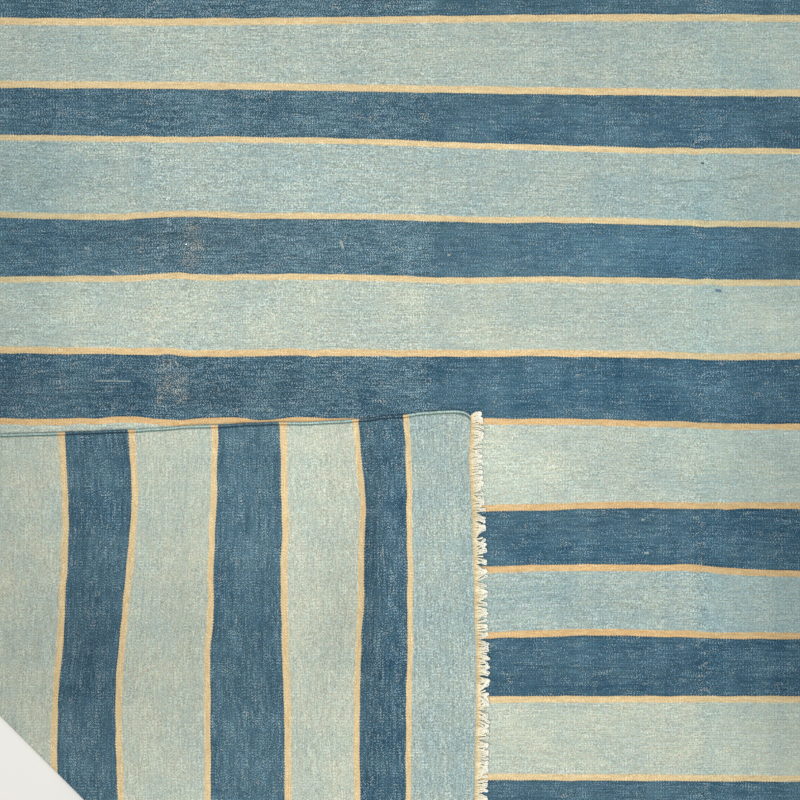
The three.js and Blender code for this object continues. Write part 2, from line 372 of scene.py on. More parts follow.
@dataclass(frozen=True)
class StripePlan:
    """The bands of the rug and the thin lines between them, as uneven as they were woven."""

    edge_width: float = 0.8
    first_dye: float = 0.12
    # Each group has the stations of its lines, and for each line v, width, dye beyond it and sway at the stations
    lines: tuple[CreamLine, ...] = tuple(
        CreamLine(v, width, dye, stations, sway) for stations, rows in (
            ((0, 40, 97, 131, 165, 199, 233, 267, 301, 335, 369, 403, 430, 800, 2440), (
                (108, 9.3, 0.20, (7.5, 4.4, 2.2, 0.7, 2, 1, 0.6, -0.7, 0, 0.4, -0.1, -0.3, 0.6, 2, -3)),
                (193, 10.2, 0.95, (9.5, 5.6, 0.7, -3, -4.6, -3.4, -1.8, -1.4, -1.8, -0.7, 2.3, 3, 4.1, 3, -2)),
                (319, 11.4, 0.66, (5, 4.2, 2.8, 2.9, 1, 0.5, 2.2, 3.5, 2.7, 2.5, 1.5, 1.3, -0.1, -3, 4)),
                (447, 10.6, 0.82, (-6.5, -7.3, -5.8, -6, -4.5, -2, -1.8, 0.3, -0.2, 0.4, 2.1, 5.7, 5.6, 4, -4)),
                (584, 11, 0.55, (-3, -3.6, -7.5, -8.9, -7.8, -5.8, -2.3, 0.1, 4.5, 7, 10.7, 13.8, 16, 8, -3)),
                (700, 10.8, 0.85, (1.5, -0.4, -3.6, -5.7, -5.9, -6.7, -5.6, -4.6, -1.3, -0.6, 1.4, 3.4, 6.5, 5, -4)),
            )),
            ((0, WIDTH), ((834, 11, 0.30, (0, 0)),)),
            ((0, 700, 1366, 1451, 1536, 1621, 1680, 1748, 1808, 1867, 2440), (
                (946, 11.2, 0.14, (6, 2, -2.4, 0.5, 2.3, 0.5, -0.5, -3.6, -3.5, -4.3, 2)),
                (1056, 11.1, 0.25, (-3, 0, -1.1, 1.7, 2, 1, 1.7, -3.6, -7, -8.8, -5)),
                (1163, 11.1, 0.65, (4, 1, -3.5, -1.7, 1.1, 1.6, 0.5, 0.6, 0.9, -0.2, -3)),
            )),
            ((0, 516, 584, 625, 652, 679, 706, 733, 761, 788, 829, 856, 897, 924, 951, 992, 1009,
              1060, 1115, 1366, 1536, 1680, 1748, 1867, 2440), (
                (1305, 10.4, 0.28, (2, 1.8, 0.8, 0.6, 2.6, 1.3, 3.7, 5, 3.5, 0.8, -1.3, 1.4, 3.3, 2.5, -1.1, 0.8, 2.6,
                                    2.5, 1.6, 1.3, 0, -4.3, -7.2, -7.6, -4)),
            )),
            ((0, 523, 601, 686, 754, 822, 890, 1026, 1196, 1281, 1366, 1536, 1680, 1748, 1867, 2440), (
                (1424, 11.3, 0.62, (7, 3.8, 2.3, 3, 1.3, -1.7, -1.6, -0.3, -1.3, -1.6, -2.2, -2.6, -5.3, -7.6, -6, -9)),
                (1547, 10.3, 0.88, (-4, 0.6, 1.8, 2.1, 3, 7.3, 3.5, 5.4, 2.2, -0.9, 0.4, -0.1, -2.7, -4.5, -4.2, -6)),
                (1652, 10.2, 0.23, (9, 6.2, 3.8, 2.6, 4.7, 7.5, 6.6, 4.2, 2, -1, -2.9, -3.7, -7.7, -8.9, -10.7, -8)),
                (1776, 9.8, 0.50, (16, 13, 12.5, 11, 10.9, 9.5, 10.8, 8.7, 4.2, 0.6, -2.1, -6.6, -9.2, -9.5, -10, -12)),
            )),
            ((0, 800, 1600, 2440), (
                (1872, 12, 0.40, (10, 6, -5, -9)), (1990, 12, 0.65, (2, -4, 3, -4)),
                (2088, 11, 0.75, (-5, 3, 4, -6)), (2202, 13, 0.30, (-7, 2, 5, 1)),
                (2306, 12, 0.20, (4, -3, -2, 6)), (2428, 12, 0.55, (3, 5, -4, 2)),
                (2520, 11, 0.85, (-4, 4, 2, -5)), (2632, 13, 0.45, (-2, -5, 4, 5)),
                (2732, 12, 0.30, (5, 2, -5, -1)), (2848, 12, 0.70, (2, -3, 3, 2)),
                (2944, 11, 0.15, (-3, 2, 2, -4)),
            )),
        ) for v, width, dye, sway in rows
    )
    # For each line by its v, the u, reach and rise of its kinks
    kinks: tuple[Kink, ...] = tuple(
        Kink(line_v, *row) for line_v, rows in (
            (1776, ((950, 70, -1.3), (1606, 45, -1.1), (1700, 12, -2.0))),
            (1652, ((728, 12, -2.0), (940, 55, -1.5), (1436, 40, 1.1), (1722, 10, -1.2))),
            (1547, ((782, 38, 1.3), (842, 20, -1.9), (930, 24, 2.6), (1340, 30, -0.9),
                    (1697, 11, -1.3), (1724, 8, 1.3))),
            (1424, ((560, 40, 1.3), (803, 22, 3.2), (1008, 20, 1.2), (1049, 7, -2.0), (1425, 60, 1.6))),
            (1305, ((1600, 40, -0.9),)),
            (1163, ((1752, 9, -2.2),)),
            (1056, ((1480, 22, -1.2),)),
        ) for row in rows
    )
    joins: tuple[Join, ...] = (
        Join(788, 9, (0, 1200, 1372, 1440, 1520, 1600, 1680, 1760, 2200, 3050),
             (6, -4, 2, -3, -12, 4, 12, -10, 5, -6)),
        Join(1708, 12, (0, 900, 1300, 1436, 1530, 1600, 1640, 1657, 1673, 1691, 1717, 1742, 1768, 1800, 2300, 3050),
             (0, 4, -2, 12, 14, 2, 0, 13, 37, 60, 39, 17, -5, 0, -8, 6)),
    )
    join_reach: float = 24.0
    join_slip: float = 0.4
    # The reach, shortest and longest wave of each line's waver, and of its width's
    run_waver: tuple[float, float, float] = (0.3, 45, 170)
    width_waver: tuple[float, float, float] = (0.7, 28, 170)
    waver_seed: int = 40
    # The shares of the way across a band between which a fact changes from one line's to the next
    width_turn: Point = (0.3, 0.7)
    dye_turn: Point = (0.25, 0.75)

    def centres(self, u: Array, outline: Outline) -> Array:
        """Gives where every line runs, with the cream edge of each woven end as the first and last of them.

        Args:
            u: Distances across the rug.
            outline: The outline that the end lines follow.

        Returns:
            A row for each line, with its v at each u.
        """
        rows = [outline.near.at(u) + self.edge_width / 2]
        for number, line in enumerate(self.lines):
            run = line.v + soft_curve(u, line.stations, line.sway)
            run = run + Waver(*self.run_waver, self.waver_seed + number).at(u)
            for side, join in zip((1, -1), self.joins):
                turn = side if number % 2 else -side
                run = run + turn * self.join_slip * np.exp(-(((u - join.u) / self.join_reach) ** 2))
            for kink in self.kinks:
                if kink.line_v == line.v:
                    run = run + kink.at(u)
            rows.append(run)
        rows.append(LENGTH - outline.far.at(u) - self.edge_width / 2)
        return np.stack(rows)

    def paint(self, u: Array, v: Array, outline: Outline) -> dict[str, Array]:
        """Works out what the weave's colours depend on at points of the cloth.

        Args:
            u: The points' distances across the rug.
            v: Their distances along it.
            outline: The outline that the end lines follow.

        Returns:
            Two vectors for each point. weave holds u, the distance along the rug measured by the stripes, and the
            distance from the nearest line, above 0 in a pale band and below it in an indigo one. tones holds the
            dye of the pale yarn, the dye of the indigo yarn and half the width of the nearest line.
        """
        def of(rows: Array, number: Array) -> Array:
            """Picks the value of one numbered row for each point."""
            return np.take_along_axis(rows, number[None], 0)[0]

        centres = self.centres(u, outline)
        nominal = np.array([self.edge_width / 2, *[line.v for line in self.lines], LENGTH - self.edge_width / 2])
        edge = np.full(u.shape, self.edge_width)
        wavers = (Waver(*self.width_waver, self.waver_seed - 1 - number) for number in range(len(self.lines)))
        widths = np.stack([edge, *[line.width + waver.at(u) for line, waver in zip(self.lines, wavers)], edge])
        band = np.clip((centres <= v).sum(axis=0) - 1, 0, len(nominal) - 2)
        below, above = of(centres, band), of(centres, band + 1)
        share = (v - below) / (above - below)
        measured = nominal[band] + share * (nominal[band + 1] - nominal[band])
        ground = np.where(band % 2 == 0, Ground.PALE.value, Ground.INDIGO.value)
        nearest = np.minimum(v - below, above - v)
        width_below, width_above = of(widths, band), of(widths, band + 1)
        half = 0.5 * (width_below + (width_above - width_below) * smoothstep(share, *self.width_turn))
        dyes = np.array([self.first_dye, *[line.dye_beyond for line in self.lines]])
        before, after = dyes[np.maximum(band - 1, 0)], dyes[np.minimum(band + 1, len(dyes) - 1)]
        other = before + (after - before) * smoothstep(share, *self.dye_turn)
        pale = np.where(ground == Ground.PALE.value, dyes[band], other)
        indigo = np.where(ground == Ground.INDIGO.value, dyes[band], other)
        return {
            "weave": np.stack([u, measured, ground * nearest], axis=-1),
            "tones": np.stack([pale, indigo, half], axis=-1),
        }


@dataclass(frozen=True)
class WornSpot:
    """A place where the face is rubbed and the warp shows through."""

    u: float
    v: float
    across: float
    along: float
    depth: float


class Side(Enum):
    """The two sides of the cloth."""

    FACE = 1
    BACK = -1


@dataclass(frozen=True)
class Patch:
    """A broad patch on one side of the cloth that is paler or darker, partly as painted light falloff, more faded, or
    bluer than the rest.
    """

    side: Side
    u: float
    v: float
    across: float
    along: float
    tone: float
    blue: float = 0.0
    fading: float = 0.0


@dataclass(frozen=True)
class Section:
    """One weaver's stretch of the rug: where it is, how blue, how uneven each yarn is, and the pitch of its ribs."""

    low: float
    high: float
    blue: float
    rough_indigo: float
    rough_pale: float
    rib_pitch: float


@dataclass(frozen=True)
class WearAndLight:
    """Where the rug is worn, faded or darker, with painted light falloff, and how each weaver's stretch differs."""

    # For each spot its u, v, reach across, reach along and depth
    spots: tuple[WornSpot, ...] = tuple(WornSpot(*row) for row in (
        (806, 1374, 34, 34, 0.5), (825, 1377, 13, 22, 0.75), (822, 1351, 20, 11, 0.7), (801, 1360, 22, 12, 0.6),
        (805, 1407, 18, 13, 0.6), (843, 1606, 24, 56, 0.6), (839, 1579, 22, 15, 0.7), (846, 1641, 20, 14, 0.65),
        (798, 1618, 17, 7, 0.5), (755, 1590, 12, 40, 0.45), (755, 1564, 13, 12, 0.6), (657, 1598, 9, 12, 0.6),
        (580, 1590, 10, 8, 0.5), (567, 1373, 14, 30, 0.4), (621, 1373, 14, 30, 0.4), (826, 1760, 22, 45, 0.3),
    ))
    # For each patch, by its side, u, v, reach across, reach along and tone, and blue and fading if they aren't 0
    # The tones are partly the cloth's own and partly painted light falloff
    tone_and_light_patches: tuple[Patch, ...] = tuple(
        Patch(side, *row) for side, rows in (
            (Side.FACE, (
                (470, 1500, 170, 620, -0.22), (590, 1712, 190, 60, -0.12), (760, 1600, 200, 60, -0.08),
                (540, 1640, 140, 170, 0.0, 0.2), (1650, 1600, 280, 55, 0.0, 0.15), (1690, 1500, 70, 400, 0.0, 0.15),
                (1900, 950, 130, 330, -0.25), (1850, 1600, 120, 60, -0.2), (1395, 1230, 90, 70, 0.12, 0.0, 0.25),
                (1080, 1712, 90, 45, 0.08), (1830, 1712, 90, 45, -0.1), (850, 1600, 130, 45, -0.1),
                (1560, 1600, 150, 45, 0.17), (840, 1366, 260, 45, -0.12), (1490, 1366, 210, 45, 0.29),
                (1600, 1108, 160, 40, 0.07), (1560, 1000, 130, 40, -0.06), (1820, 1235, 120, 40, -0.07),
                (560, 1600, 130, 40, -0.07), (600, 1366, 130, 40, -0.08), (1490, 1805, 250, 40, 0.18),
                (1850, 1805, 80, 40, -0.1), (880, 1630, 280, 22, -0.14), (860, 1342, 220, 22, -0.15),
                (1470, 1085, 190, 26, 0.17), (1560, 915, 330, 28, 0.09),
            )),
            (Side.BACK, (
                (200, 900, 900, 330, -0.22), (440, 600, 200, 420, -0.15), (260, 174, 300, 18, -0.21),
                (230, 135, 300, 18, 0.12), (150, 625, 60, 25, 0.15), (370, 660, 60, 25, -0.1),
                (340, 225, 110, 35, -0.12), (100, 290, 120, 30, 0.09), (200, 405, 240, 24, 0.08),
                (320, 485, 150, 30, -0.07),
            )),
        ) for row in rows
    )
    sections: tuple[Section, ...] = (
        Section(-200, 788, 0.0, 1.18, 1.05, 4.92),
        Section(788, 1250, 0.0, 1.34, 1.15, 4.3),
        Section(1250, 1708, 0.0, 0.82, 0.98, 4.6),
        Section(1708, 2640, 0.08, 0.88, 0.82, 4.7),
    )
    section_blend: float = 14.0
    blue_shift: tuple[float, float, float] = (-0.55, -0.05, 0.25)
    back_tone: float = 0.96
    back_rough_indigo: float = 0.8
    back_rough_pale: float = 0.86
    end_reach: Point = (256.0, 384.0)
    end_roughness: float = 0.15

    def blended(self, u: Array, name: str) -> Array:
        """Gives one of the sections' facts, eased from each section to the next.

        Args:
            u: Distances across the rug.
            name: Which fact.

        Returns:
            Its value at each u.
        """
        total = np.zeros(np.shape(u))
        for section in self.sections:
            entered = smoothstep(u, section.low - self.section_blend, section.low + self.section_blend)
            left = smoothstep(u, section.high - self.section_blend, section.high + self.section_blend)
            total = total + getattr(section, name) * (entered - left)
        return total

    def tones_and_light(self, u: Array, v: Array, side: Side) -> tuple[Array, Array]:
        """Works out the broad differences in the cloth's colour, painted light falloff among them.

        Args:
            u: The points' distances across the rug.
            v: Their distances along it.
            side: The side of the cloth.

        Returns:
            What each channel of the colour is multiplied by, and how much more the dyes are faded.
        """
        tone = np.full(np.shape(u), self.back_tone if side is Side.BACK else 1.0)
        blue, fading = self.blended(u, "blue"), np.zeros(np.shape(u))
        for patch in self.tone_and_light_patches:
            if patch.side is side:
                near = np.exp(-(((u - patch.u) / patch.across) ** 2 + ((v - patch.v) / patch.along) ** 2))
                tone = tone * (1 + patch.tone * near)
                blue = blue + patch.blue * near
                fading = fading + patch.fading * near
        return np.stack([tone * (1 + shift * blue) for shift in self.blue_shift], axis=-1), fading

    def threads(self, u: Array, v: Array, side: Side) -> Array:
        """Counts the ribs from the left side, and gives how uneven the yarn is.

        Args:
            u: Distances across the rug.
            v: Distances along it.
            side: The side of the cloth.

        Returns:
            A vector for each point: the count of ribs, and how uneven indigo yarn and pale yarn is.
        """
        ribs = np.zeros(np.shape(u))
        for section in self.sections:
            ribs = ribs + (np.clip(u, section.low, section.high) - section.low) / section.rib_pitch
        indigo, pale = self.blended(u, "rough_indigo"), self.blended(u, "rough_pale")
        if side is Side.BACK:
            near_end = 1 - smoothstep(np.minimum(v, LENGTH - v), *self.end_reach)
            coarser = 1 + self.end_roughness * near_end
            indigo, pale = self.back_rough_indigo * coarser * indigo, self.back_rough_pale * coarser * pale
        return np.stack([ribs, indigo, pale], axis=-1)

    def marks(self, u: Array, v: Array, a: Array, plan: StripePlan, side: Side) -> Array:
        """Works out the wear at points of the cloth.

        Args:
            u: The points' distances across the rug.
            v: Their distances along it.
            a: Their distances across the rug's plain rectangle, which the selvedge is measured on.
            plan: The stripes, which say where the weavers' stretches meet.
            side: The side of the cloth, of which only the face is worn.

        Returns:
            A vector for each point: how worn it is, how near a join, and how far it is from the selvedge.
        """
        worn = np.zeros(np.shape(u))
        for spot in self.spots:
            away = ((u - spot.u) / spot.across) ** 2 + ((v - spot.v) / spot.along) ** 2
            worn = np.maximum(worn, spot.depth * np.exp(-away) * (side is Side.FACE))
        near_join = np.maximum.reduce([join.nearness(u, v) for join in plan.joins])
        return np.stack([worn, near_join, np.minimum(a, WIDTH - a)], axis=-1)


def placed(name: str, data: bpy.types.ID) -> bpy.types.Object:
    """Puts a mesh, light or camera in the scene.

    Args:
        name: The object's name.
        data: What it holds.

    Returns:
        The object.
    """
    made = bpy.data.objects.new(name, data)
    bpy.context.scene.collection.objects.link(made)
    return made


def carry(mesh: bpy.types.Mesh, vectors: dict[str, Array]) -> None:
    """Gives a mesh's points the vectors that its finish reads.

    Args:
        mesh: The mesh.
        vectors: A row of three numbers for each point, by name.
    """
    for name, values in vectors.items():
        attribute = mesh.attributes.new(name, "FLOAT_VECTOR", "POINT")
        attribute.data.foreach_set("vector", values.astype(np.float32).ravel())


class Wire:
    """An output of a material's node that takes part in Python arithmetic."""

    def __init__(self, bench: "Bench", socket: bpy.types.NodeSocket) -> None:
        """Holds an output socket and the bench that its node stands on."""
        self.bench = bench
        self.socket = socket

    def __add__(self, other: "Number") -> "Wire":
        """Adds a number or another wire."""
        return self.bench.maths("ADD", self, other)

    def __sub__(self, other: "Number") -> "Wire":
        """Takes a number or another wire away."""
        return self.bench.maths("SUBTRACT", self, other)

    def __rsub__(self, other: float) -> "Wire":
        """Takes this wire away from a number."""
        return self.bench.maths("SUBTRACT", other, self)

    def __mul__(self, other: "Number") -> "Wire":
        """Multiplies by a number or another wire."""
        return self.bench.maths("MULTIPLY", self, other)

    def __truediv__(self, other: "Number") -> "Wire":
        """Divides by a number or another wire."""
        return self.bench.maths("DIVIDE", self, other)

    def __neg__(self) -> "Wire":
        """Turns the sign."""
        return self.bench.maths("MULTIPLY", self, -1.0)

    __radd__ = __add__
    __rmul__ = __mul__

    def exp(self) -> "Wire":
        """The exponential."""
        return self.bench.maths("EXPONENT", self)

    def cos(self) -> "Wire":
        """The cosine, of radians."""
        return self.bench.maths("COSINE", self)

    def floor(self) -> "Wire":
        """The whole number below."""
        return self.bench.maths("FLOOR", self)

    def size(self) -> "Wire":
        """The value without its sign."""
        return self.bench.maths("ABSOLUTE", self)

    def above(self, limit: "Number") -> "Wire":
        """1 where this is above a limit, and 0 elsewhere."""
        return self.bench.maths("GREATER_THAN", self, limit)

    def least(self, other: "Number") -> "Wire":
        """The smaller of this and another."""
        return self.bench.maths("MINIMUM", self, other)

    def most(self, other: "Number") -> "Wire":
        """The larger of this and another."""
        return self.bench.maths("MAXIMUM", self, other)

    def eased(self, low: "Number", high: "Number") -> "Wire":
        """Eases from 0 where this is low to 1 where it is high."""
        inputs = {"Value": self, "From Min": low, "From Max": high}
        return self.bench.node("ShaderNodeMapRange", {"interpolation_type": "SMOOTHSTEP"}, inputs)

    def scaled(self, factor: "Number") -> "Wire":
        """A colour or vector times a number, channel by channel."""
        return self.bench.node("ShaderNodeVectorMath", {"operation": "SCALE"}, {0: self, "Scale": factor})

    def tinted(self, other: "Wire") -> "Wire":
        """A colour times another, channel by channel."""
        return self.bench.node("ShaderNodeVectorMath", {"operation": "MULTIPLY"}, {0: self, 1: other})


Number = float | Wire
Colour = tuple[float, float, float]


def dyed(red: int, green: int, blue: int) -> Colour:
    """Turns a colour as it looks on a screen, from 0 to 255, into the light it sends back, from 0 to 1."""
    shares = (channel / 255 for channel in (red, green, blue))
    return tuple(s / 12.92 if s <= 0.04045 else ((s + 0.055) / 1.055) ** 2.4 for s in shares)


class Bench:
    """A material whose nodes are laid out by one method."""

    def __init__(self, name: str) -> None:
        """Makes the empty material.

        Args:
            name: The material's name.
        """
        self.material = bpy.data.materials.new(name)
        self.material.use_nodes = True
        self.material.node_tree.nodes.clear()

    def node(self, kind: str, settings: dict[str, object], inputs: dict[str | int, object]) -> Wire:
        """Adds a node.

        Args:
            kind: The node's type.
            settings: Its settings, which are set first.
            inputs: The value or wire of each of its sockets, by name or number.

        Returns:
            The node's first output that is in use.
        """
        tree = self.material.node_tree
        made = tree.nodes.new(kind)
        for name, value in settings.items():
            setattr(made, name, value)
        usable = [socket for socket in made.inputs if socket.enabled]
        named = {socket.name: socket for socket in reversed(usable)}
        for key, value in inputs.items():
            socket = usable[key] if isinstance(key, int) else named[key]
            if isinstance(value, Wire):
                tree.links.new(value.socket, socket)
            elif isinstance(value, tuple) and socket.type == "RGBA":
                socket.default_value = (*value, 1.0)
            else:
                socket.default_value = value
        return Wire(self, next((socket for socket in made.outputs if socket.enabled), None))

    def maths(self, operation: str, *terms: Number) -> Wire:
        """Adds a Math node on its terms."""
        return self.node("ShaderNodeMath", {"operation": operation}, dict(enumerate(terms)))

    def attribute(self, name: str) -> Wire:
        """Reads a vector that the mesh carries at its points."""
        read = self.node("ShaderNodeAttribute", {"attribute_name": name}, {})
        return Wire(self, read.socket.node.outputs["Vector"])

    def parts(self, vector: Wire) -> tuple[Wire, Wire, Wire]:
        """Splits a vector into its three numbers."""
        split = self.node("ShaderNodeSeparateXYZ", {}, {0: vector}).socket.node
        return tuple(Wire(self, socket) for socket in split.outputs)

    def mixed(self, share: Number, start: Wire | Colour, end: Wire | Colour) -> Wire:
        """Mixes two colours. A share a little below 0 or above 1 goes past one of them."""
        settings = {"data_type": "RGBA", "clamp_factor": False}
        return self.node("ShaderNodeMix", settings, {"Factor": share, "A": start, "B": end})

    def noise(self, over: Wire, cell: tuple[float, ...], seed: float, detail: float = 1.0) -> Wire:
        """Adds soft noise.

        Args:
            over: The vector that the noise lies on.
            cell: The size of its cells along the vector's directions, or 0 where it doesn't change.
            seed: A number that sets this noise apart from others.
            detail: How many finer layers it has.

        Returns:
            The noise, from 0 to 1 with its middle at 0.5.
        """
        scale = tuple(1 / size if size else 0.0 for size in cell)
        where = self.node(
            "ShaderNodeVectorMath", {"operation": "MULTIPLY_ADD"}, {0: over, 1: scale, 2: (seed, 1.7 * seed, seed)},
        )
        return self.node(
            "ShaderNodeTexNoise", {"noise_dimensions": "3D"}, {"Vector": where, "Scale": 1.0, "Detail": detail},
        )

    def white(self, across: Wire, along: Wire) -> Wire:
        """Gives each cell of a grid its own random number from 0 to 1, by the counts of cells each way."""
        where = self.node("ShaderNodeCombineXYZ", {}, {"X": across.floor(), "Y": along.floor()})
        return self.node("ShaderNodeTexWhiteNoise", {"noise_dimensions": "2D"}, {"Vector": where})

    def finished(self, sockets: dict[str, object], height: Wire, bump: float) -> bpy.types.Material:
        """Ends the material in its shader, with a relief in millimetres.

        Args:
            sockets: The shader's own sockets.
            height: The relief's height.
            bump: How strongly it shows.

        Returns:
            The material.
        """
        normal = self.node("ShaderNodeBump", {}, {"Strength": bump, "Distance": MM, "Height": height})
        shader = self.node("ShaderNodeBsdfPrincipled", {}, {**sockets, "Normal": normal})
        self.node("ShaderNodeOutputMaterial", {}, {"Surface": shader})
        return self.material


class Mark(Enum):
    """The small marks on the cloth, each with the light that it sends back and how much of it shows."""

    # Painted shade along fine creases in the cloth
    CREASE = (dyed(112, 134, 130), 0.38)
    THREAD = (dyed(224, 224, 208), 0.42)
    STAIN = (dyed(84, 113, 138), 0.85)
    # Painted shade standing for a small hole
    HOLE_SHADE = (dyed(58, 74, 78), 0.9)
    STRAW = (dyed(118, 108, 84), 0.6)

    @property
    def colour(self) -> Colour:
        """The mark's colour."""
        return self.value[0]

    @property
    def strength(self) -> float:
        """How much of the colour shows in the middle of the mark."""
        return self.value[1]


@dataclass(frozen=True)
class Scuff:
    """One short mark, from one place on the cloth to another."""

    mark: Mark
    start: Point
    end: Point
    reach: float

    def mask(self, bench: Bench, place: Wire) -> Wire:
        """Gives where the mark is.

        Args:
            bench: The material's bench.
            place: The vector of places on the cloth.

        Returns:
            1 along the mark's middle, falling to 0 at its reach.
        """
        way = (self.end[0] - self.start[0], self.end[1] - self.start[1], 0.0)
        square = way[0] ** 2 + way[1] ** 2
        over = (way[0] / square, way[1] / square, 0.0)
        back = (-self.start[0], -self.start[1], 0.0)
        adding, times = {"operation": "MULTIPLY_ADD"}, {"operation": "DOT_PRODUCT"}
        from_start = bench.node("ShaderNodeVectorMath", adding, {0: place, 1: (1.0, 1.0, 1.0), 2: back})
        share = bench.node("ShaderNodeVectorMath", times, {0: from_start, 1: over}).most(0.0).least(1.0)
        backward = (-way[0], -way[1], 0.0)
        away = bench.node("ShaderNodeVectorMath", adding, {0: backward, 1: share, 2: from_start})
        distance = bench.node("ShaderNodeVectorMath", {"operation": "LENGTH"}, {0: away})
        return distance.eased(self.reach, 0.25 * self.reach)


class Noise(Enum):
    """The soft noises on the cloth: the size of the cells across and along the rug, the seed and the finer layers."""

    GRAIN = (4.2, 3.2, 5.9, 1.0)
    WEFT = (17, 2.0, 7.7, 0.0)
    ROWS = (70, 2.0, 113.9, 0.0)
    WARP = (2.0, 9, 12.3, 1.0)
    CALM = (36, 22, 127.1, 2.0)
    FINE = (2.6, 2.2, 139.7, 0.0)
    HANK = (420, 5, 17.9, 2.0)
    BLOTCH = (95, 60, 23.3, 3.0)
    COLUMN = (34, 900, 31.1, 1.0)
    HUE = (9, 3.4, 53.3, 1.0)
    TINT = (2.6, 2.2, 71.3, 0.0)
    STREAK = (9, 3.4, 67.9, 2.0)
    SPECK = (24, 16, 83.9, 2.0)
    SPARK = (3.6, 2.2, 97.1, 0.0)
    SLUB = (34, 2.0, 101.3, 1.0)
    BROKEN = (16, 10, 89.1, 2.0)
    TUFT = (17, 4.5, 47.3, 3.0)


@dataclass(frozen=True)
class Facts:
    """What the cloth's mesh tells its finish at each point, on the bench where the finish is laid out."""

    bench: Bench
    weave: Wire
    across: Wire
    measured: Wire
    from_line: Wire
    in_pale: Wire
    pale_dye: Wire
    indigo_dye: Wire
    half_line: Wire
    worn: Wire
    join: Wire
    from_side: Wire
    ribs: Wire
    rough_indigo: Wire
    rough_pale: Wire

    @classmethod
    def read(cls, bench: Bench) -> "Facts":
        """Reads everything from the mesh's own vectors.

        Args:
            bench: The material's bench.

        Returns:
            The facts.
        """
        weave = bench.attribute("weave")
        across, measured, from_line = bench.parts(weave)
        in_pale = from_line.above(0.0)
        rest = [part for name in ("tones", "marks", "threads") for part in bench.parts(bench.attribute(name))]
        return cls(bench, weave, across, measured, from_line, in_pale, *rest)

    @property
    def rib_wave(self) -> Wire:
        """A wave across the rug, from -1 to 1, once for each rib that is counted."""
        return (2 * math.pi * self.ribs).cos()

    def noise(self, kind: Noise) -> Wire:
        """Lays one of the soft noises over the cloth."""
        across, along, seed, detail = kind.value
        return self.bench.noise(self.weave, (across, along, 0), seed, detail)


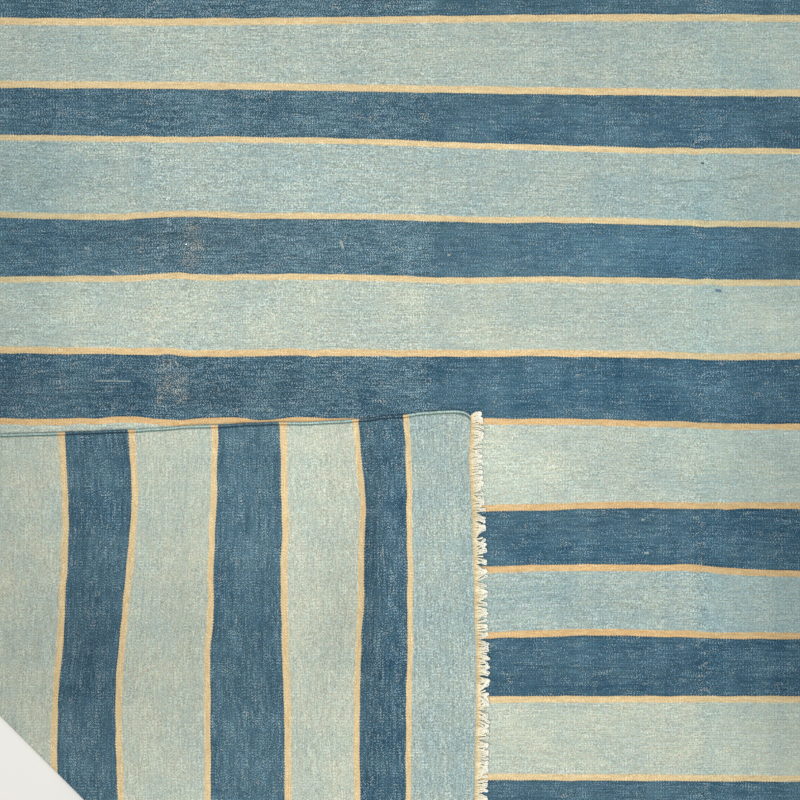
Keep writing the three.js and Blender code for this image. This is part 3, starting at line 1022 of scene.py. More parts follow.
@dataclass(frozen=True)
class WovenCotton:
    """The finish of the cloth: weft-faced plain weave in faded pale and indigo bands with thin tan lines."""

    pick: float = 1.5
    float_length: float = 1.64
    tooth: float = 0.45
    pale_contrast: float = 0.34
    indigo_contrast: float = 0.66
    pale_cool: Colour = dyed(160, 180, 177)
    pale_warm: Colour = dyed(194, 201, 184)
    pale_fleck: Colour = dyed(216, 223, 213)
    indigo_deep: Colour = dyed(55, 88, 106)
    indigo_faded: Colour = dyed(82, 113, 127)
    indigo_fleck: Colour = dyed(152, 169, 172)
    rubbed_indigo: Colour = dyed(130, 136, 134)
    bare_warp: Colour = dyed(200, 192, 176)
    tan: Colour = dyed(218, 184, 134)
    straw: Colour = dyed(230, 208, 162)
    browned: tuple[tuple[float, float], ...] = ((800.0, 940.0), (1490.0, 1330.0))
    cool_cast: Colour = (0.955, 1.0, 1.035)
    warm_cast: Colour = (1.045, 1.0, 0.96)
    green_cast: Colour = (0.97, 1.025, 0.97)
    rose_cast: Colour = (1.03, 0.975, 1.03)
    # Painted highlight: the pale yarn made lighter on the raised cord
    cord_pale_highlight: Colour = dyed(174, 199, 192)
    # Painted shade in the groove beside the cord, over pale, indigo and tan yarn
    groove_shade_pale: Colour = dyed(72, 98, 92)
    groove_shade_indigo: Colour = dyed(15, 35, 50)
    groove_shade_tan: Colour = dyed(168, 120, 66)
    # How much each thing lightens or darkens a yarn
    beside_weight: float = 0.2
    before_weight: float = 0.12
    rib_least: float = 0.12
    rib_unevenness: float = 2.0
    float_weight: float = 1.85
    pale_calming: float = 0.6
    fine_weight: float = 3.0
    weft_weight: float = 1.2
    grain_weight: float = 0.5
    warp_weight: float = 0.45
    rib_weight: float = 0.85
    calm_least: float = 0.75
    calm_span: float = 0.5
    middle: Point = (0.3, 0.7)
    # How much each noise shifts the dye
    blotch_weight: float = 1.9
    column_weight: float = 0.9
    hank_weight: float = 1.1
    pale_variation: float = 0.6
    # Where the face is rubbed, and what that and the joins do, and the painted shade beside the thin lines
    streak_weight: float = 1.8
    rubbing_range: Point = (0.15, 1.0)
    worn_range: Point = (0.03, 0.4)
    rubbed_share: float = 0.35
    rubbed_roughness: float = 0.25
    join_roughness: float = 0.9
    dyed_smoothness: float = 0.3
    undyed_roughness: float = 1.12
    skew: float = 0.22
    line_shadow: float = 0.14
    line_shadow_reach: float = 5.0
    # The flecks of bare yarn: where each kind shows, and how much it lifts a yarn
    speck_range: Point = (0.52, 0.74)
    spark_range: Point = (0.62, 0.8)
    slub_range: Point = (0.66, 0.8)
    broken_range: Point = (0.42, 0.62)
    rubbing_lift: float = 0.6
    join_lift: float = 0.35
    speck_lift: float = 0.2
    spark_lift: float = 0.7
    slub_lift: float = 0.8
    fleck_range: Point = (0.45, 1.7)
    fleck_share: float = 0.85
    pale_fleck_loss: float = 0.4
    join_bareness: float = 0.3
    speck_bareness: float = 0.6
    # The thin lines
    line_indigo_blur: float = 0.7
    line_pale_blur: float = 1.2
    line_widening: float = 0.7
    tuft_range: Point = (0.32, 0.68)
    browning: float = 0.8
    line_contrast: float = 0.22
    # The selvedge's cord and the groove beside it, whose shade is painted
    cord_edge: Point = (3.6, 6.0)
    cord_line_edge: Point = (3.6, 5.2)
    groove_outer: Point = (3.1, 4.2)
    groove_inner: Point = (7.3, 5.8)
    corner_groove: Point = (34.0, 10.0)
    corner_widening: float = 1.7
    wrap_pitch: float = 4.8
    # For each scuff, by its mark, u and v at both its ends and its reach
    scuffs: tuple[Scuff, ...] = tuple(
        Scuff(mark, row[:2], row[2:4], row[4]) for mark, rows in (
            (Mark.CREASE, (
                (1643, 1710.2, 1672, 1714.5, 3.2), (1672, 1714.5, 1706, 1717.0, 2.6), (1706, 1717.0, 1735, 1713.6, 2.6),
                (1757, 1718.7, 1803, 1724.7, 3.4), (1752, 1686.4, 1769, 1683.3, 2.2), (1762, 1669.0, 1782, 1666.0, 2.2),
            )),
            (Mark.THREAD, (
                (1703.0, 1748.2, 1707.5, 1749.6, 1.9), (1712.5, 1749.8, 1716.0, 1748.6, 1.6),
                (745.3, 1759.0, 745.9, 1734.0, 1.3), (797, 1523.6, 830, 1522.4, 1.8), (706, 1564.5, 717, 1558.5, 1.8),
                (814, 1408.5, 818.5, 1401.0, 1.9), (678, 1375.6, 737, 1375.0, 1.3), (1607, 1139.0, 1611, 1139.4, 1.8),
                (1613, 1083.0, 1618, 1082.4, 1.8), (1129.5, 1746.0, 1133.0, 1746.6, 3.2),
                (1228.5, 1601.4, 1231.0, 1601.2, 2.2), (1277.5, 1589.5, 1280.5, 1589.9, 2.2),
                (1095.5, 1613.0, 1098.5, 1602.0, 2.8), (1320.5, 1655.0, 1326.0, 1654.6, 2.6),
                (1318.0, 1667.0, 1324.0, 1661.0, 3.0), (766, 1445.0, 787, 1444.6, 1.7),
            )),
            (Mark.STAIN, ((1733.5, 1529.8, 1740.5, 1528.6, 3.6),)),
            (Mark.HOLE_SHADE, ((1708.6, 1746.0, 1711.6, 1745.0, 2.5),)),
            (Mark.STRAW, ((676.0, 1470.8, 678.6, 1470.2, 1.8), (799.0, 1500.6, 800.0, 1498.4, 1.8))),
        ) for row in rows
    )

    def grain(self, facts: Facts) -> tuple[Wire, Wire]:
        """Gives how light each yarn looks, and the soft grain that the relief shares.

        Args:
            facts: What the mesh says.

        Returns:
            The lightness, around 0, and the grain, from 0 to 1.
        """
        def float_at(across: float, along: float) -> Wire:
            """Gives how light one float of yarn is, by how many floats it is from this one."""
            cell = facts.across / self.float_length + across, facts.measured / self.pick + along
            return facts.bench.white(*cell) - 0.5

        beside, before = float_at(1, 0) + float_at(-1, 0), float_at(0, 1) + float_at(0, -1)
        floats = float_at(0, 0) - self.beside_weight * beside - self.before_weight * before
        grain = facts.noise(Noise.GRAIN)
        weft = facts.noise(Noise.WEFT) - 0.5
        rows = facts.noise(Noise.ROWS) - 0.5
        warp = facts.noise(Noise.WARP) - 0.5
        calm = facts.noise(Noise.CALM)
        ribs = facts.rib_wave * (self.rib_least + self.rib_unevenness * weft)
        fine = facts.noise(Noise.FINE) - 0.5
        spun = self.float_weight * (1 - self.pale_calming * facts.in_pale) * floats
        spun = spun + self.fine_weight * facts.in_pale * fine
        light = spun + self.weft_weight * weft + rows + self.grain_weight * (grain - 0.5)
        light = light + self.warp_weight * warp + self.rib_weight * ribs
        return light * (self.calm_least + self.calm_span * calm.eased(*self.middle)), grain

    def ground(self, facts: Facts, light: Wire) -> Wire:
        """Colours the wide bands, with their fading, hanks, flecks and wear.

        Args:
            facts: What the mesh says.
            light: How light each yarn looks.

        Returns:
            The colour.
        """
        bench = facts.bench
        hank = facts.noise(Noise.HANK)
        blotch = facts.noise(Noise.BLOTCH)
        column = facts.noise(Noise.COLUMN)
        hue = facts.noise(Noise.HUE)
        tint = facts.noise(Noise.TINT)
        streak = facts.noise(Noise.STREAK)
        speck = facts.noise(Noise.SPECK).eased(*self.speck_range)
        spark = facts.noise(Noise.SPARK).eased(*self.spark_range)
        slub = facts.noise(Noise.SLUB).eased(*self.slub_range)
        broken = facts.noise(Noise.BROKEN).eased(*self.broken_range)

        varied = self.blotch_weight * (blotch - 0.5) + self.column_weight * (column - 0.5)
        varied = varied + self.hank_weight * (hank - 0.5)
        pale = bench.mixed(facts.pale_dye + self.pale_variation * varied, self.pale_cool, self.pale_warm)
        # The pale yarn turns lighter on the cord, a painted highlight
        pale = bench.mixed(1 - facts.from_side.eased(*self.cord_edge), pale, self.cord_pale_highlight)
        indigo = bench.mixed(facts.indigo_dye + varied, self.indigo_deep, self.indigo_faded)
        rubbing = (facts.worn + self.streak_weight * (streak - 0.5)).eased(*self.rubbing_range)
        rubbing = rubbing * facts.worn.eased(*self.worn_range)
        indigo = bench.mixed(self.rubbed_share * rubbing, indigo, self.rubbed_indigo)
        ground = bench.mixed(facts.in_pale, indigo, pale)
        for share, low, high in ((hue, self.cool_cast, self.warm_cast), (tint, self.rose_cast, self.green_cast)):
            ground = ground.tinted(bench.mixed(share.eased(*self.middle), low, high))

        # Painted shade on the indigo beside each thin line
        beside_line = (-facts.from_line - facts.half_line).eased(0.0, self.line_shadow_reach).most(facts.in_pale)
        join = facts.join * broken
        rough_pale = facts.rough_pale * (self.undyed_roughness - self.dyed_smoothness * facts.pale_dye)
        uneven = facts.rough_indigo + (rough_pale - facts.rough_indigo) * facts.in_pale
        lit = light * uneven * (1 + self.join_roughness * join + self.rubbed_roughness * rubbing)
        contrast = self.indigo_contrast + (self.pale_contrast - self.indigo_contrast) * facts.in_pale
        skewed = lit + self.skew * (1 - facts.in_pale) * lit * lit
        ground = ground.scaled((contrast * skewed).exp() * (1 - self.line_shadow + self.line_shadow * beside_line))
        lifted = lit + self.rubbing_lift * rubbing + self.join_lift * join + (self.speck_lift + 1.0 * spark) * speck
        lifted = lifted + self.spark_lift * spark + self.slub_lift * slub
        flecks = lifted.eased(*self.fleck_range) * (self.fleck_share - self.pale_fleck_loss * facts.in_pale)
        plain = bench.mixed(facts.in_pale, self.indigo_fleck, self.pale_fleck)
        bareness = rubbing + self.join_bareness * join + self.speck_bareness * speck
        bare = bench.mixed(bareness.least(1.0), plain, self.bare_warp)
        return bench.mixed(flecks, ground, bare)

    def line(self, facts: Facts, light: Wire, ground: Wire) -> Wire:
        """Lays the thin tan lines over the bands, toothed on their indigo side.

        Args:
            facts: What the mesh says.
            light: How light each yarn looks.
            ground: The colour of the bands.

        Returns:
            The colour.
        """
        bench = facts.bench
        tuft = facts.noise(Noise.TUFT)
        half = facts.half_line + self.line_widening * (1 - facts.from_side.eased(*self.cord_line_edge))
        teeth = self.tooth * facts.rib_wave
        toward_indigo = (facts.from_line + half + teeth).eased(-self.line_indigo_blur, self.line_indigo_blur)
        toward_pale = (half - facts.from_line).eased(-self.line_pale_blur, self.line_pale_blur)
        (pale_before, brown_after), (pale_after, brown_before) = self.browned
        browner = facts.measured.eased(pale_before, brown_after) * facts.measured.eased(pale_after, brown_before)
        paler = 0.5 + 0.5 * tuft.eased(*self.tuft_range) - self.browning * browner
        colour = bench.mixed(paler, self.tan, self.straw)
        return bench.mixed(toward_indigo * toward_pale, ground, colour.scaled((self.line_contrast * light).exp()))

    def groove(self, facts: Facts, colour: Wire) -> Wire:
        """Paints shade into the groove beside the selvedge's cord.

        Args:
            facts: What the mesh says.
            colour: The colour of the cloth.

        Returns:
            The colour.
        """
        bench = facts.bench
        wraps = 0.84 + 0.16 * (facts.measured * (2 * math.pi / self.wrap_pitch)).cos()
        wide = self.corner_widening * facts.measured.eased(*self.corner_groove)
        inner, outer = self.groove_inner, self.groove_outer
        depth = facts.from_side.eased(*outer) * facts.from_side.eased(inner[0] + wide, inner[1] + wide) * wraps
        shadow = bench.mixed(facts.in_pale, self.groove_shade_indigo, self.groove_shade_pale)
        in_line = facts.from_line.size().eased(facts.half_line + 1.2, facts.half_line - 0.2)
        return bench.mixed(0.9 * depth, colour, bench.mixed(in_line, shadow, self.groove_shade_tan))

    def material(self) -> bpy.types.Material:
        """Lays out the cloth's nodes.

        Returns:
            The material.
        """
        bench = Bench("woven_cotton")
        facts = Facts.read(bench)
        light, grain = self.grain(facts)
        colour = self.groove(facts, self.line(facts, light, self.ground(facts, light)))
        place = bench.attribute("place")
        # The small marks; the creases and the hole among them are painted shade
        for mark in Mark:
            masks = [scuff.mask(bench, place) for scuff in self.scuffs if scuff.mark is mark]
            shown = masks[0]
            for mask in masks[1:]:
                shown = shown.most(mask)
            colour = bench.mixed(mark.strength * shown, colour, mark.colour)
        # Broad tone from the mesh: the cloth's own, with painted light falloff
        colour = colour.tinted(bench.attribute("tone_and_light"))

        rib_number = (2 * facts.ribs + 0.5).floor()
        rib_round = facts.rib_wave.size()
        pick_round = ((facts.measured / self.pick + 0.5 * rib_number) * math.pi).cos().size()
        height = 0.2 * rib_round + 0.25 * rib_round * pick_round + (0.5 + 0.6 * facts.join) * grain
        return bench.finished({"Base Color": colour, "Roughness": 0.95, "Specular IOR Level": 0.2}, height, 0.5)


@dataclass(frozen=True)
class WarpCotton:
    """The finish of the fringe: ecru warp yarn, darker and tan where it leaves the cloth and paler at its tips."""

    root: Colour = dyed(232, 207, 160)
    ecru: Colour = dyed(246, 238, 208)
    tip: Colour = dyed(254, 252, 238)

    def material(self) -> bpy.types.Material:
        """Lays out the yarn's nodes.

        Returns:
            The material.
        """
        bench = Bench("warp_cotton")
        yarn, cut = bench.attribute("yarn"), bench.attribute("strand")
        reach, tone, ply = bench.parts(yarn)
        fibres = bench.noise(cut, (1.1, 1.1, 1.1), 5.3, 2.0)
        colour = bench.mixed((reach + 4.0 * (tone - 0.5)).eased(2.0, 8.0), self.root, self.ecru)
        colour = bench.mixed(reach.eased(8.0, 17.0) * 0.9, colour, self.tip)
        colour = colour.scaled(0.92 + 0.14 * tone + 0.25 * (fibres - 0.5))
        height = 0.16 * ply.cos() + 0.2 * fibres
        return bench.finished({"Base Color": colour, "Roughness": 0.9, "Specular IOR Level": 0.2}, height, 0.6)


@dataclass(frozen=True)
class Panel:
    """One stretch of the cloth, from one line across the plain rectangle to another."""

    name: str
    across: Point
    along: Point

    @property
    def size(self) -> Point:
        """The panel's width and length."""
        return self.across[1] - self.across[0], self.along[1] - self.along[0]

    @property
    def flat(self) -> Point:
        """The same in metres."""
        return self.size[0] * MM, self.size[1] * MM


@dataclass
class WovenCloth:
    """The woven cloth, made in panels whose edges meet exactly."""

    outline: Outline
    lie: Lie
    plan: StripePlan
    wear: WearAndLight
    section: ClothSection = ClothSection()
    cell: float = 10.5
    edge_steps: tuple[float, ...] = (8.0, 12.0, 20.0, 32.0, 45.0)
    end_steps: tuple[float, ...] = (3.0, 6.0, 12.0)
    splits_across: tuple[float, float] = (788.0, 1708.0)
    split_along: float = 1500.0
    map_gap: float = 12.0
    normal_step: float = 0.2

    @property
    def panels(self) -> list[Panel]:
        """The six panels, named by where they are in the rug.

        Returns:
            The panels, the near ones first.
        """
        across = [0.0, *self.splits_across, WIDTH]
        along = [0.0, self.split_along, LENGTH]
        return [
            Panel(f"cloth_{end}_{side}", (across[i], across[i + 1]), (along[j], along[j + 1]))
            for j, end in enumerate(("near", "far"))
            for i, side in enumerate(("left", "middle", "right"))
        ]

    def stations(self, total: float, fine: Sequence[float], low: float, high: float) -> Array:
        """Divides one side of a panel, finely where it is an edge of the rug.

        Args:
            total: The rug's size that way.
            fine: The distances from an edge of the rug that are divided finely.
            low: Where the panel starts.
            high: Where it ends.

        Returns:
            The stations, from low to high.
        """
        begin = list(fine) if low == 0 else [low]
        end = [total - step for step in reversed(fine)] if high == total else [high]
        count = round((end[0] - begin[-1]) / self.cell)
        return np.array([*begin[:-1], *np.linspace(begin[-1], end[0], count + 1), *end[1:]])

    def divided(self, panel: Panel) -> tuple[Array, list[list[int]]]:
        """Divides a panel into cells, cut along the lines beside the fold.

        Args:
            panel: The panel.

        Returns:
            The points of the plain rectangle, and each cell's corners by number.
        """
        cord_steps = sorted({*self.section.inward, *self.edge_steps})
        columns = self.stations(WIDTH, cord_steps, *panel.across)
        rows = self.stations(LENGTH, [*self.section.end_inward, *self.end_steps], *panel.along)
        a, b = np.meshgrid(columns, rows, indexing="ij")
        past = self.lie.past(*self.outline.spread(a, b))
        lines = self.lie.lines
        numbered: dict[Point, tuple[int, Point]] = {}
        cells: list[list[int]] = []

        def number_of(point: tuple[float, float, float]) -> int:
            """Numbers a point, the same for every cell that shares it."""
            key = (round(point[0], 3), round(point[1], 3))
            return numbered.setdefault(key, (len(numbered), point[:2]))[0]

        for i in range(len(columns) - 1):
            for j in range(len(rows) - 1):
                corners = ((i, j), (i + 1, j), (i + 1, j + 1), (i, j + 1))
                cell = [(columns[p], rows[q], past[p, q]) for p, q in corners]
                depths = [corner[2] for corner in cell]
                pieces = [cell]
                for line in lines[(lines > min(depths)) & (lines < max(depths))]:
                    pieces = [part for piece in pieces for part in self.cut(piece, line)]
                cells.extend([number_of(point) for point in piece] for piece in pieces)
        return np.array([point for _, point in numbered.values()]), cells

    @staticmethod
    def cut(piece: list[tuple[float, float, float]], line: float) -> list[list[tuple[float, float, float]]]:
        """Cuts a cell along a line beside the fold.

        Args:
            piece: The cell's corners, each with its distance past the fold.
            line: The line's distance past the fold.

        Returns:
            The one or two parts.
        """
        before, after = [], []
        for here, there in zip(piece, piece[1:] + piece[:1]):
            if here[2] <= line:
                before.append(here)
            if here[2] >= line:
                after.append(here)
            if (here[2] - line) * (there[2] - line) < 0:
                low, high = sorted((here, there), key=lambda point: point[2])
                share = (line - low[2]) / (high[2] - low[2])
                crossing = (low[0] + share * (high[0] - low[0]), low[1] + share * (high[1] - low[1]), line)
                before.append(crossing)
                after.append(crossing)
        return [part for part in (before, after) if len(part) > 2]

    def surface(self, a: Array, b: Array, side: int) -> Array:
        """Gives the place in metres of points of the plain rectangle, on the face with 1 and the back with -1."""
        half, lift = self.section.at(a, b)
        return self.lie.place(*self.outline.spread(a, b), side * half, lift)

    def normals(self, a: Array, b: Array, side: int) -> Array:
        """Gives the directions that one side of the cloth faces.

        Args:
            a: Distances across the plain rectangle.
            b: Distances along it.
            side: 1 for the face and -1 for the back.

        Returns:
            A row of three numbers for each point.
        """
        step = self.normal_step
        low_a, high_a = np.maximum(a - step, 0), np.minimum(a + step, WIDTH)
        low_b, high_b = np.maximum(b - step, 0), np.minimum(b + step, LENGTH)
        over_a = self.surface(high_a, b, side) - self.surface(low_a, b, side)
        over_b = self.surface(a, high_b, side) - self.surface(a, low_b, side)
        facing = side * np.cross(over_a, over_b)
        return facing / np.linalg.norm(facing, axis=1, keepdims=True)

    def map_size(self, panel: Panel) -> float:
        """Gives the side of the square map that holds both sides of a panel."""
        return max(2 * panel.size[0] + 3 * self.map_gap, panel.size[1] + 2 * self.map_gap)

    def map_places(self, panel: Panel, a: Array, b: Array, side: int) -> Array:
        """Lays the panel's face on its map, or its back beside the face."""
        left = self.map_gap if side > 0 else 2 * self.map_gap + panel.size[0]
        return np.stack([left + a - panel.across[0], self.map_gap + b - panel.along[0]], axis=-1) / self.map_size(panel)

    def facts(self, a: Array, b: Array, side: Side) -> dict[str, Array]:
        """Works out what the finish needs to know at points of the cloth.

        Args:
            a: Distances across the plain rectangle.
            b: Distances along it.
            side: The side of the cloth.

        Returns:
            The vectors that the mesh carries, by name.
        """
        u, v = self.outline.spread(a, b)
        painted = self.plan.paint(u, v, self.outline)
        tone_and_light, fading = self.wear.tones_and_light(u, v, side)
        painted["tones"][:, :2] += fading[:, None]
        return {
            **painted,
            "marks": self.wear.marks(u, v, a, self.plan, side),
            "place": np.stack([u, v, np.zeros(np.shape(u))], axis=-1),
            "tone_and_light": tone_and_light,
            "threads": self.wear.threads(u, v, side),
        }

    def build_panel(self, panel: Panel) -> bpy.types.Object:
        """Makes one panel as a closed slab in its place on the folded rug.

        Args:
            panel: The panel.

        Returns:
            The panel's object.
        """
        points, cells = self.divided(panel)
        a, b = points.T
        count = len(points)
        sides = {(start, end) for cell in cells for start, end in zip(cell, cell[1:] + cell[:1])}
        rim = sorted((start, end) for start, end in sides if (end, start) not in sides)
        faces = [list(cell) for cell in cells]
        faces += [[number + count for number in reversed(cell)] for cell in cells]
        walls = [[start + count, end + count, end, start] for start, end in rim]
        mesh = bpy.data.meshes.new(panel.name)
        places = np.concatenate([self.surface(a, b, 1), self.surface(a, b, -1)])
        mesh.from_pydata(places.tolist(), [], faces + walls)

        flat_corners = np.fromiter((number for face in faces for number in face), int)
        facing = np.concatenate([self.normals(a, b, 1), self.normals(a, b, -1)])
        wall_facing = []
        for start_back, _, end, start in walls:
            out = np.cross(places[end] - places[start], places[start] - places[start_back])
            wall_facing += [out / max(np.linalg.norm(out), TINY)] * 4
        mesh.polygons.foreach_set("use_smooth", np.ones(len(mesh.polygons), bool))
        mesh.normals_split_custom_set([*facing[flat_corners].tolist(), *[out.tolist() for out in wall_facing]])

        drawn = np.concatenate([self.map_places(panel, a, b, 1), self.map_places(panel, a, b, -1)])
        half, _ = self.section.at(a, b)
        wall_drawn = []
        for start, end in rim:
            way = drawn[end] - drawn[start]
            out = np.array([way[1], -way[0]]) / max(np.linalg.norm(way), TINY)
            thick = [2 * half[number] / self.map_size(panel) * out for number in (start, end)]
            wall_drawn += [drawn[start] + thick[0], drawn[end] + thick[1], drawn[end], drawn[start]]
        layer = mesh.uv_layers.new(name="OFBake")
        layer.data.foreach_set("uv", np.concatenate([drawn[flat_corners], np.array(wall_drawn)]).ravel())

        face, back = (self.facts(a, b, side) for side in Side)
        carry(mesh, {name: np.concatenate([face[name], back[name]]) for name in face})
        return placed(panel.name, mesh)

    def build(self, material: bpy.types.Material) -> None:
        """Makes every panel, dressed and attached to the rug's body.

        Args:
            material: The cloth's finish.
        """
        for panel in self.panels:
            piece = self.build_panel(panel)
            piece.data.materials.append(material)
            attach(piece, BODY)
            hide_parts("rug_cloth")
            panel.flat
            log.info("%s: %d faces", piece.name, len(piece.data.polygons))


class End(Enum):
    """The two woven ends of the rug, by the way that their fringe points along the cloth."""

    NEAR = -1
    FAR = 1


@dataclass(frozen=True)
class Layer:
    """One layer of a fringe: loops on top, or the single yarns that fill the gaps below them."""

    looped: bool
    yarn: float
    shift: float
    reach: Point
    height: float


@dataclass
class LoopFringe:
    """A fringe of warp ends: each pair of warps makes one loop, loosely twisted on itself, over single ends."""

    end: End
    outline: Outline
    lie: Lie
    loops: Layer = Layer(True, 0.95, 0.0, (19.2, 21.8), 0.5)
    singles: Layer = Layer(False, 1.25, 0.5, (15.0, 19.5), 0.0)
    pitch: float = 4.92
    sides: int = 6
    run_points: int = 11
    tip_points: int = 4
    straight: Point = (2.0, 8.5)
    seed: int = 7
    corner_reach: float = 15.0
    corner_turn: float = 0.5
    corner_yarns: int = 6
    corner_fan: float = 1.05
    root_inset: float = 1.4
    ply_apart: float = 1.04
    tip_opening: float = 0.5
    on_flap: Point = (20.0, 90.0)
    bend_middle: float = 10.0
    bend_reach: Point = (60.0, 10.0)
    first_side: tuple[float, float, float] = (0.31, 0.17, 0.93)
    ply_twist: float = 1.1
    ply_depth: float = 0.1
    fullness: float = 0.2
    filling: Point = (2.0, 9.0)

    def edge_at(self, u: Array) -> Array:
        """Gives where the woven end is."""
        return self.outline.near.at(u) if self.end is End.NEAR else LENGTH - self.outline.far.at(u)

    def centre_lines(self, layer: Layer) -> dict[str, Array]:
        """Draws how every yarn of a layer runs.

        Args:
            layer: The layer.

        Returns:
            For each yarn its root, length, lean, curl, fan, turns, arch and tone.
        """
        corner = 0.0 if self.end is End.NEAR else LENGTH
        left = float(self.outline.left.at(np.array([corner]))[0]) + self.pitch / 2
        right = WIDTH - float(self.outline.right.at(np.array([corner]))[0]) - self.pitch / 2
        count = round((right - left) / self.pitch)
        dice = np.random.default_rng(self.seed + self.end.value + 10 * int(layer.looped))
        roots = np.linspace(left, right, count) + layer.shift * self.pitch
        extra = np.linspace(-0.3, 1.4, self.corner_yarns) * self.pitch
        roots = np.sort(np.concatenate([left + extra, roots, right - extra]))
        root = roots + dice.normal(0, 0.3, len(roots))
        side = self.seed + 50 * self.end.value
        lean = Waver(0.34, 14, 120, side + 60).at(root) + dice.normal(0, 0.2, len(root))
        curl = Waver(0.5, 18, 90, side + 80).at(root) + dice.normal(0, 0.3, len(root))
        fan = np.zeros(len(root))
        for near_corner, way in ((root - left, -1), (right - root, 1)):
            share = np.exp(-((near_corner / self.corner_reach) ** 2))
            lean = lean * (1 - 0.6 * share)
            curl = curl * (1 - 0.6 * share) - way * self.corner_turn * share
            fan = fan + way * self.corner_fan * share
        return {
            "root": root,
            "length": dice.uniform(*layer.reach, len(root)) / np.cos(np.clip(lean + 0.35 * curl, -0.8, 0.8)),
            "lean": lean, "curl": curl, "fan": fan,
            "turns": dice.choice([0.5, 1.0, 1.5], len(root)),
            "arch": dice.uniform(layer.height, layer.height + 2.2, len(root)) * layer.looped,
            "tone": dice.random(len(root)),
        }

    @staticmethod
    def travelled(rate: Array, reach: Array) -> Array:
        """Adds up how far each yarn has gone one way, from how fast it goes that way at each point of its reach."""
        steps = 0.5 * (rate[:, 1:] + rate[:, :-1]) * np.diff(reach, axis=1)
        return np.concatenate([np.zeros((len(rate), 1)), np.cumsum(steps, axis=1)], axis=1)

    def paths(self, layer: Layer, yarns: dict[str, Array]) -> tuple[Array, Array]:
        """Runs each yarn out, and in a loop also round its tip and back.

        Args:
            layer: The layer.
            yarns: Its yarns' facts, as centre_lines gives them.

        Returns:
            The yarn's points in metres, a row of them for each yarn, and how far out each point is.
        """
        loop = {name: values[:, None] for name, values in yarns.items()}
        run = np.linspace(0, 1, self.run_points)[None, :]
        length = loop["length"] * run
        heading = loop["lean"] * smoothstep(length, *self.straight) + loop["curl"] * run ** 2
        heading = heading + loop["fan"] * (1 - run)
        forth, aside = self.travelled(np.cos(heading), length), self.travelled(np.sin(heading), length)

        tip = np.linspace(0, math.pi, self.tip_points + 2)[1:-1]
        last = self.run_points - 1
        order = np.concatenate([np.arange(last + 1), np.full(len(tip), last), np.arange(last, -1, -1)])
        hand = np.concatenate([np.ones(last + 1), np.cos(tip), -np.ones(last + 1)])[None, :]
        ahead = np.concatenate([np.zeros(last + 1), np.sin(tip), np.zeros(last + 1)])[None, :]
        if not layer.looped:
            order, hand, ahead = np.arange(last + 1), np.zeros((1, last + 1)), np.zeros((1, last + 1))
        share, heading, length = run[:, order], heading[:, order], length[:, order]

        apart = layer.yarn * self.ply_apart + self.tip_opening * smoothstep(share, 0.7, 1.0)
        turn = 2 * math.pi * loop["turns"] * smoothstep(share, 0.12, 0.95)
        sideways, upright = hand * apart * np.cos(turn), hand * apart * np.sin(turn)
        beyond = ahead * apart
        out = forth[:, order] + beyond * np.cos(heading) - sideways * np.sin(heading)
        u = loop["root"] + aside[:, order] + beyond * np.sin(heading) + sideways * np.cos(heading)
        v = self.edge_at(loop["root"]) + self.end.value * (out - self.root_inset)

        arch = loop["arch"] * np.sin(math.pi * np.clip(share * 1.1, 0, 1)) * 1.3
        past = self.lie.past(u, v)
        middle = self.lie.place(u, v, np.zeros(u.shape), np.zeros(u.shape))
        x, y = middle[..., 0] / MM + WIDTH / 2, middle[..., 1] / MM + LENGTH / 2
        on_flap = smoothstep(past, *self.on_flap)
        rest = layer.yarn + on_flap * 2 * CLOTH_HALF + self.lie.floor_swell(x, y) * on_flap
        free = 1 - smoothstep(np.abs(past - self.bend_middle), *self.bend_reach)
        droop = (rest - middle[..., 2] / MM) * smoothstep(share, 0.1, 0.8) * free
        above = layer.yarn * 0.9 * share + self.singles.yarn * layer.looped * smoothstep(share, 0.1, 0.5)
        lift = droop + arch + np.maximum(upright, -layer.yarn * (1 - share)) + above
        return self.lie.place(u, v, np.zeros(u.shape), lift), length + beyond

    def tubes(self, name: str, yarn: float, paths: Array, reach: Array, tone: Array) -> bpy.types.Object:
        """Spins some yarns into one mesh.

        Args:
            name: The mesh's name.
            yarn: The yarn's radius.
            paths: The yarns' points, a row of them for each yarn.
            reach: How far out each point is.
            tone: Each yarn's own tone.

        Returns:
            The object.
        """
        loops, steps, _ = paths.shape
        way = np.gradient(paths, axis=1)
        way /= np.linalg.norm(way, axis=2, keepdims=True)
        side = np.cross(way[:, 0], np.array(self.first_side))
        rings = []
        length = np.concatenate([
            np.zeros((loops, 1)),
            np.cumsum(np.linalg.norm(np.diff(paths, axis=1), axis=2), axis=1) / MM,
        ], axis=1)
        angles = 2 * np.pi * np.arange(self.sides) / self.sides
        plies = np.zeros((loops, steps, self.sides))
        for step in range(steps):
            side = side - way[:, step] * np.sum(side * way[:, step], axis=1, keepdims=True)
            side /= np.linalg.norm(side, axis=1, keepdims=True)
            over = np.cross(way[:, step], side)
            ply = 2 * (angles[None, :] + self.ply_twist * length[:, step, None])
            fuller = 1 + self.fullness * smoothstep(reach[:, step, None], *self.filling)
            thick = yarn * MM * fuller * (1 + self.ply_depth * np.cos(ply))
            plies[:, step] = ply
            ring = np.cos(angles)[None, :, None] * side[:, None] + np.sin(angles)[None, :, None] * over[:, None]
            rings.append(paths[:, step, None] + thick[..., None] * ring)
        points = np.stack(rings, axis=1).reshape(-1, 3)
        ring_start = (np.arange(loops * steps) * self.sides).reshape(loops, steps)
        turn = np.arange(self.sides)
        start, end = ring_start[:, :-1].reshape(-1, 1), ring_start[:, 1:].reshape(-1, 1)
        quads = np.stack([start + turn, start + (turn + 1) % self.sides,
                          end + (turn + 1) % self.sides, end + turn], axis=-1).reshape(-1, 4)
        caps = [*(ring_start[:, :1] + turn[::-1]).tolist(), *(ring_start[:, -1:] + turn).tolist()]
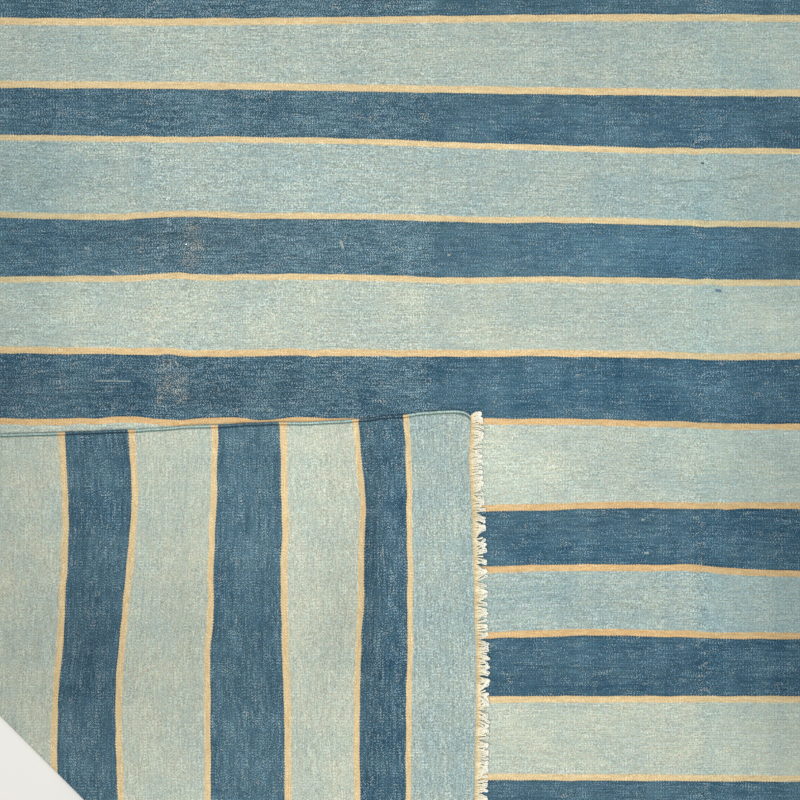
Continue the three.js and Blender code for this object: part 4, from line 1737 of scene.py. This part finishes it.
        mesh = bpy.data.meshes.new(name)
        mesh.from_pydata(points.tolist(), [], [*quads.tolist(), *caps])
        mesh.polygons.foreach_set("use_smooth", np.ones(len(mesh.polygons), bool))
        spread = np.repeat(reach.ravel(), self.sides)
        tones = np.repeat(np.repeat(tone, steps), self.sides)
        carry(mesh, {"yarn": np.stack([spread, tones, plies.ravel()], axis=-1), "strand": points / MM})
        return placed(name, mesh)

    def build(self, material: bpy.types.Material) -> None:
        """Makes the fringe, dressed, in a few stretches.

        Args:
            material: The yarn's finish.
        """
        end = self.end.name.lower()
        for layer, names in ((self.loops, ("left", "right")), (self.singles, ("below",))):
            yarns = self.centre_lines(layer)
            paths, reach = self.paths(layer, yarns)
            for name, numbers in zip(names, np.array_split(np.arange(len(paths)), len(names))):
                tone = yarns["tone"][numbers]
                piece = self.tubes(f"fringe_{end}_{name}", layer.yarn, paths[numbers], reach[numbers], tone)
                piece.data.materials.append(material)
                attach(piece, BODY)
                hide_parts(f"fringe_{end}_end")
                log.info("%s: %d yarns, %d faces", piece.name, len(numbers), len(piece.data.polygons))


@dataclass(frozen=True)
class Softbox:
    """A soft studio light, in metres and watts."""

    name: str
    place: tuple[float, float, float]
    aim: tuple[float, float, float]
    size: float
    power: float
    warmth: Colour

    def build(self) -> None:
        """Hangs the light and points it."""
        lamp = bpy.data.lights.new(self.name, "AREA")
        lamp.shape, lamp.size = "SQUARE", self.size
        lamp.energy, lamp.color = self.power, self.warmth
        made = placed(self.name, lamp)
        made.location = self.place
        toward = np.array(self.aim) - np.array(self.place)
        made.rotation_euler = Vector(toward).to_track_quat("-Z", "Y").to_euler()


@dataclass(frozen=True)
class Studio:
    """The pale floor, the soft lights and the camera straight above the folded corner."""

    floor_size: float = 24.0
    floor_colour: Colour = dyed(226, 224, 219)
    surround: Colour = (0.92, 0.96, 1.0)
    surround_strength: float = 0.29
    softboxes: tuple[Softbox, ...] = (
        Softbox("key", (-1.3, -1.5, 3.2), (-0.05, -0.1, 0.0), 1.6, 62, (1.0, 0.985, 0.965)),
        Softbox("overhead", (0.0, -0.15, 2.3), (0.0, -0.15, 0.0), 1.5, 27, (1.0, 0.995, 0.985)),
    )
    view_centre: Point = (-0.0242, -0.182)
    view_width: float = 1.36
    view_height: float = 0.005
    lens: float = 85.0
    sensor: float = 36.0

    def build(self) -> None:
        """Makes the floor, the light and the camera."""
        self.lay_floor()
        for softbox in self.softboxes:
            softbox.build()
        self.light_surround()
        self.set_camera()
        bpy.context.scene.view_settings.view_transform = "Standard"

    def lay_floor(self) -> None:
        """Lays the floor, in a matt pale finish."""
        bench = Bench("pale_floor")
        where = Wire(bench, bench.node("ShaderNodeTexCoord", {}, {}).socket.node.outputs["Object"])
        cloud = bench.noise(where, (0.7, 0.7, 0.7), 2.0, 2.0)
        colour = bench.mixed(cloud, tuple(0.96 * channel for channel in self.floor_colour), self.floor_colour)
        grain = bench.noise(where, (0.004, 0.004, 0.004), 9.0, 2.0)
        material = bench.finished({"Base Color": colour, "Roughness": 0.85}, 0.3 * grain, 0.2)
        half = self.floor_size / 2
        mesh = bpy.data.meshes.new("floor")
        mesh.from_pydata([(-half, -half, 0), (half, -half, 0), (half, half, 0), (-half, half, 0)], [], [[0, 1, 2, 3]])
        mesh.materials.append(material)
        floor = placed("floor", mesh)

    def light_surround(self) -> None:
        """Lights the room softly from all round."""
        world = bpy.data.worlds.new("studio")
        world.use_nodes = True
        background = world.node_tree.nodes["Background"]
        background.inputs["Color"].default_value = (*self.surround, 1.0)
        background.inputs["Strength"].default_value = self.surround_strength
        bpy.context.scene.world = world

    def set_camera(self) -> None:
        """Looks straight down on the folded corner, the far end of the rug at the top of the picture."""
        eye = bpy.data.cameras.new("camera")
        eye.lens, eye.sensor_width = self.lens, self.sensor
        made = placed("camera", eye)
        distance = self.view_width * self.lens / self.sensor
        made.location = (*self.view_centre, self.view_height + distance)
        bpy.context.scene.camera = made


def main() -> None:
    """Makes the studio, the cloth and its fringes."""
    logging.basicConfig(level=logging.INFO, format="%(name)s: %(message)s")
    outline, lie, plan = Outline(), Lie(), StripePlan()
    Studio().build()
    WovenCloth(outline, lie, plan, WearAndLight()).build(WovenCotton().material())
    yarn = WarpCotton().material()
    for end in End:
        LoopFringe(end, outline, lie).build(yarn)


if __name__ == "__main__":
    main()
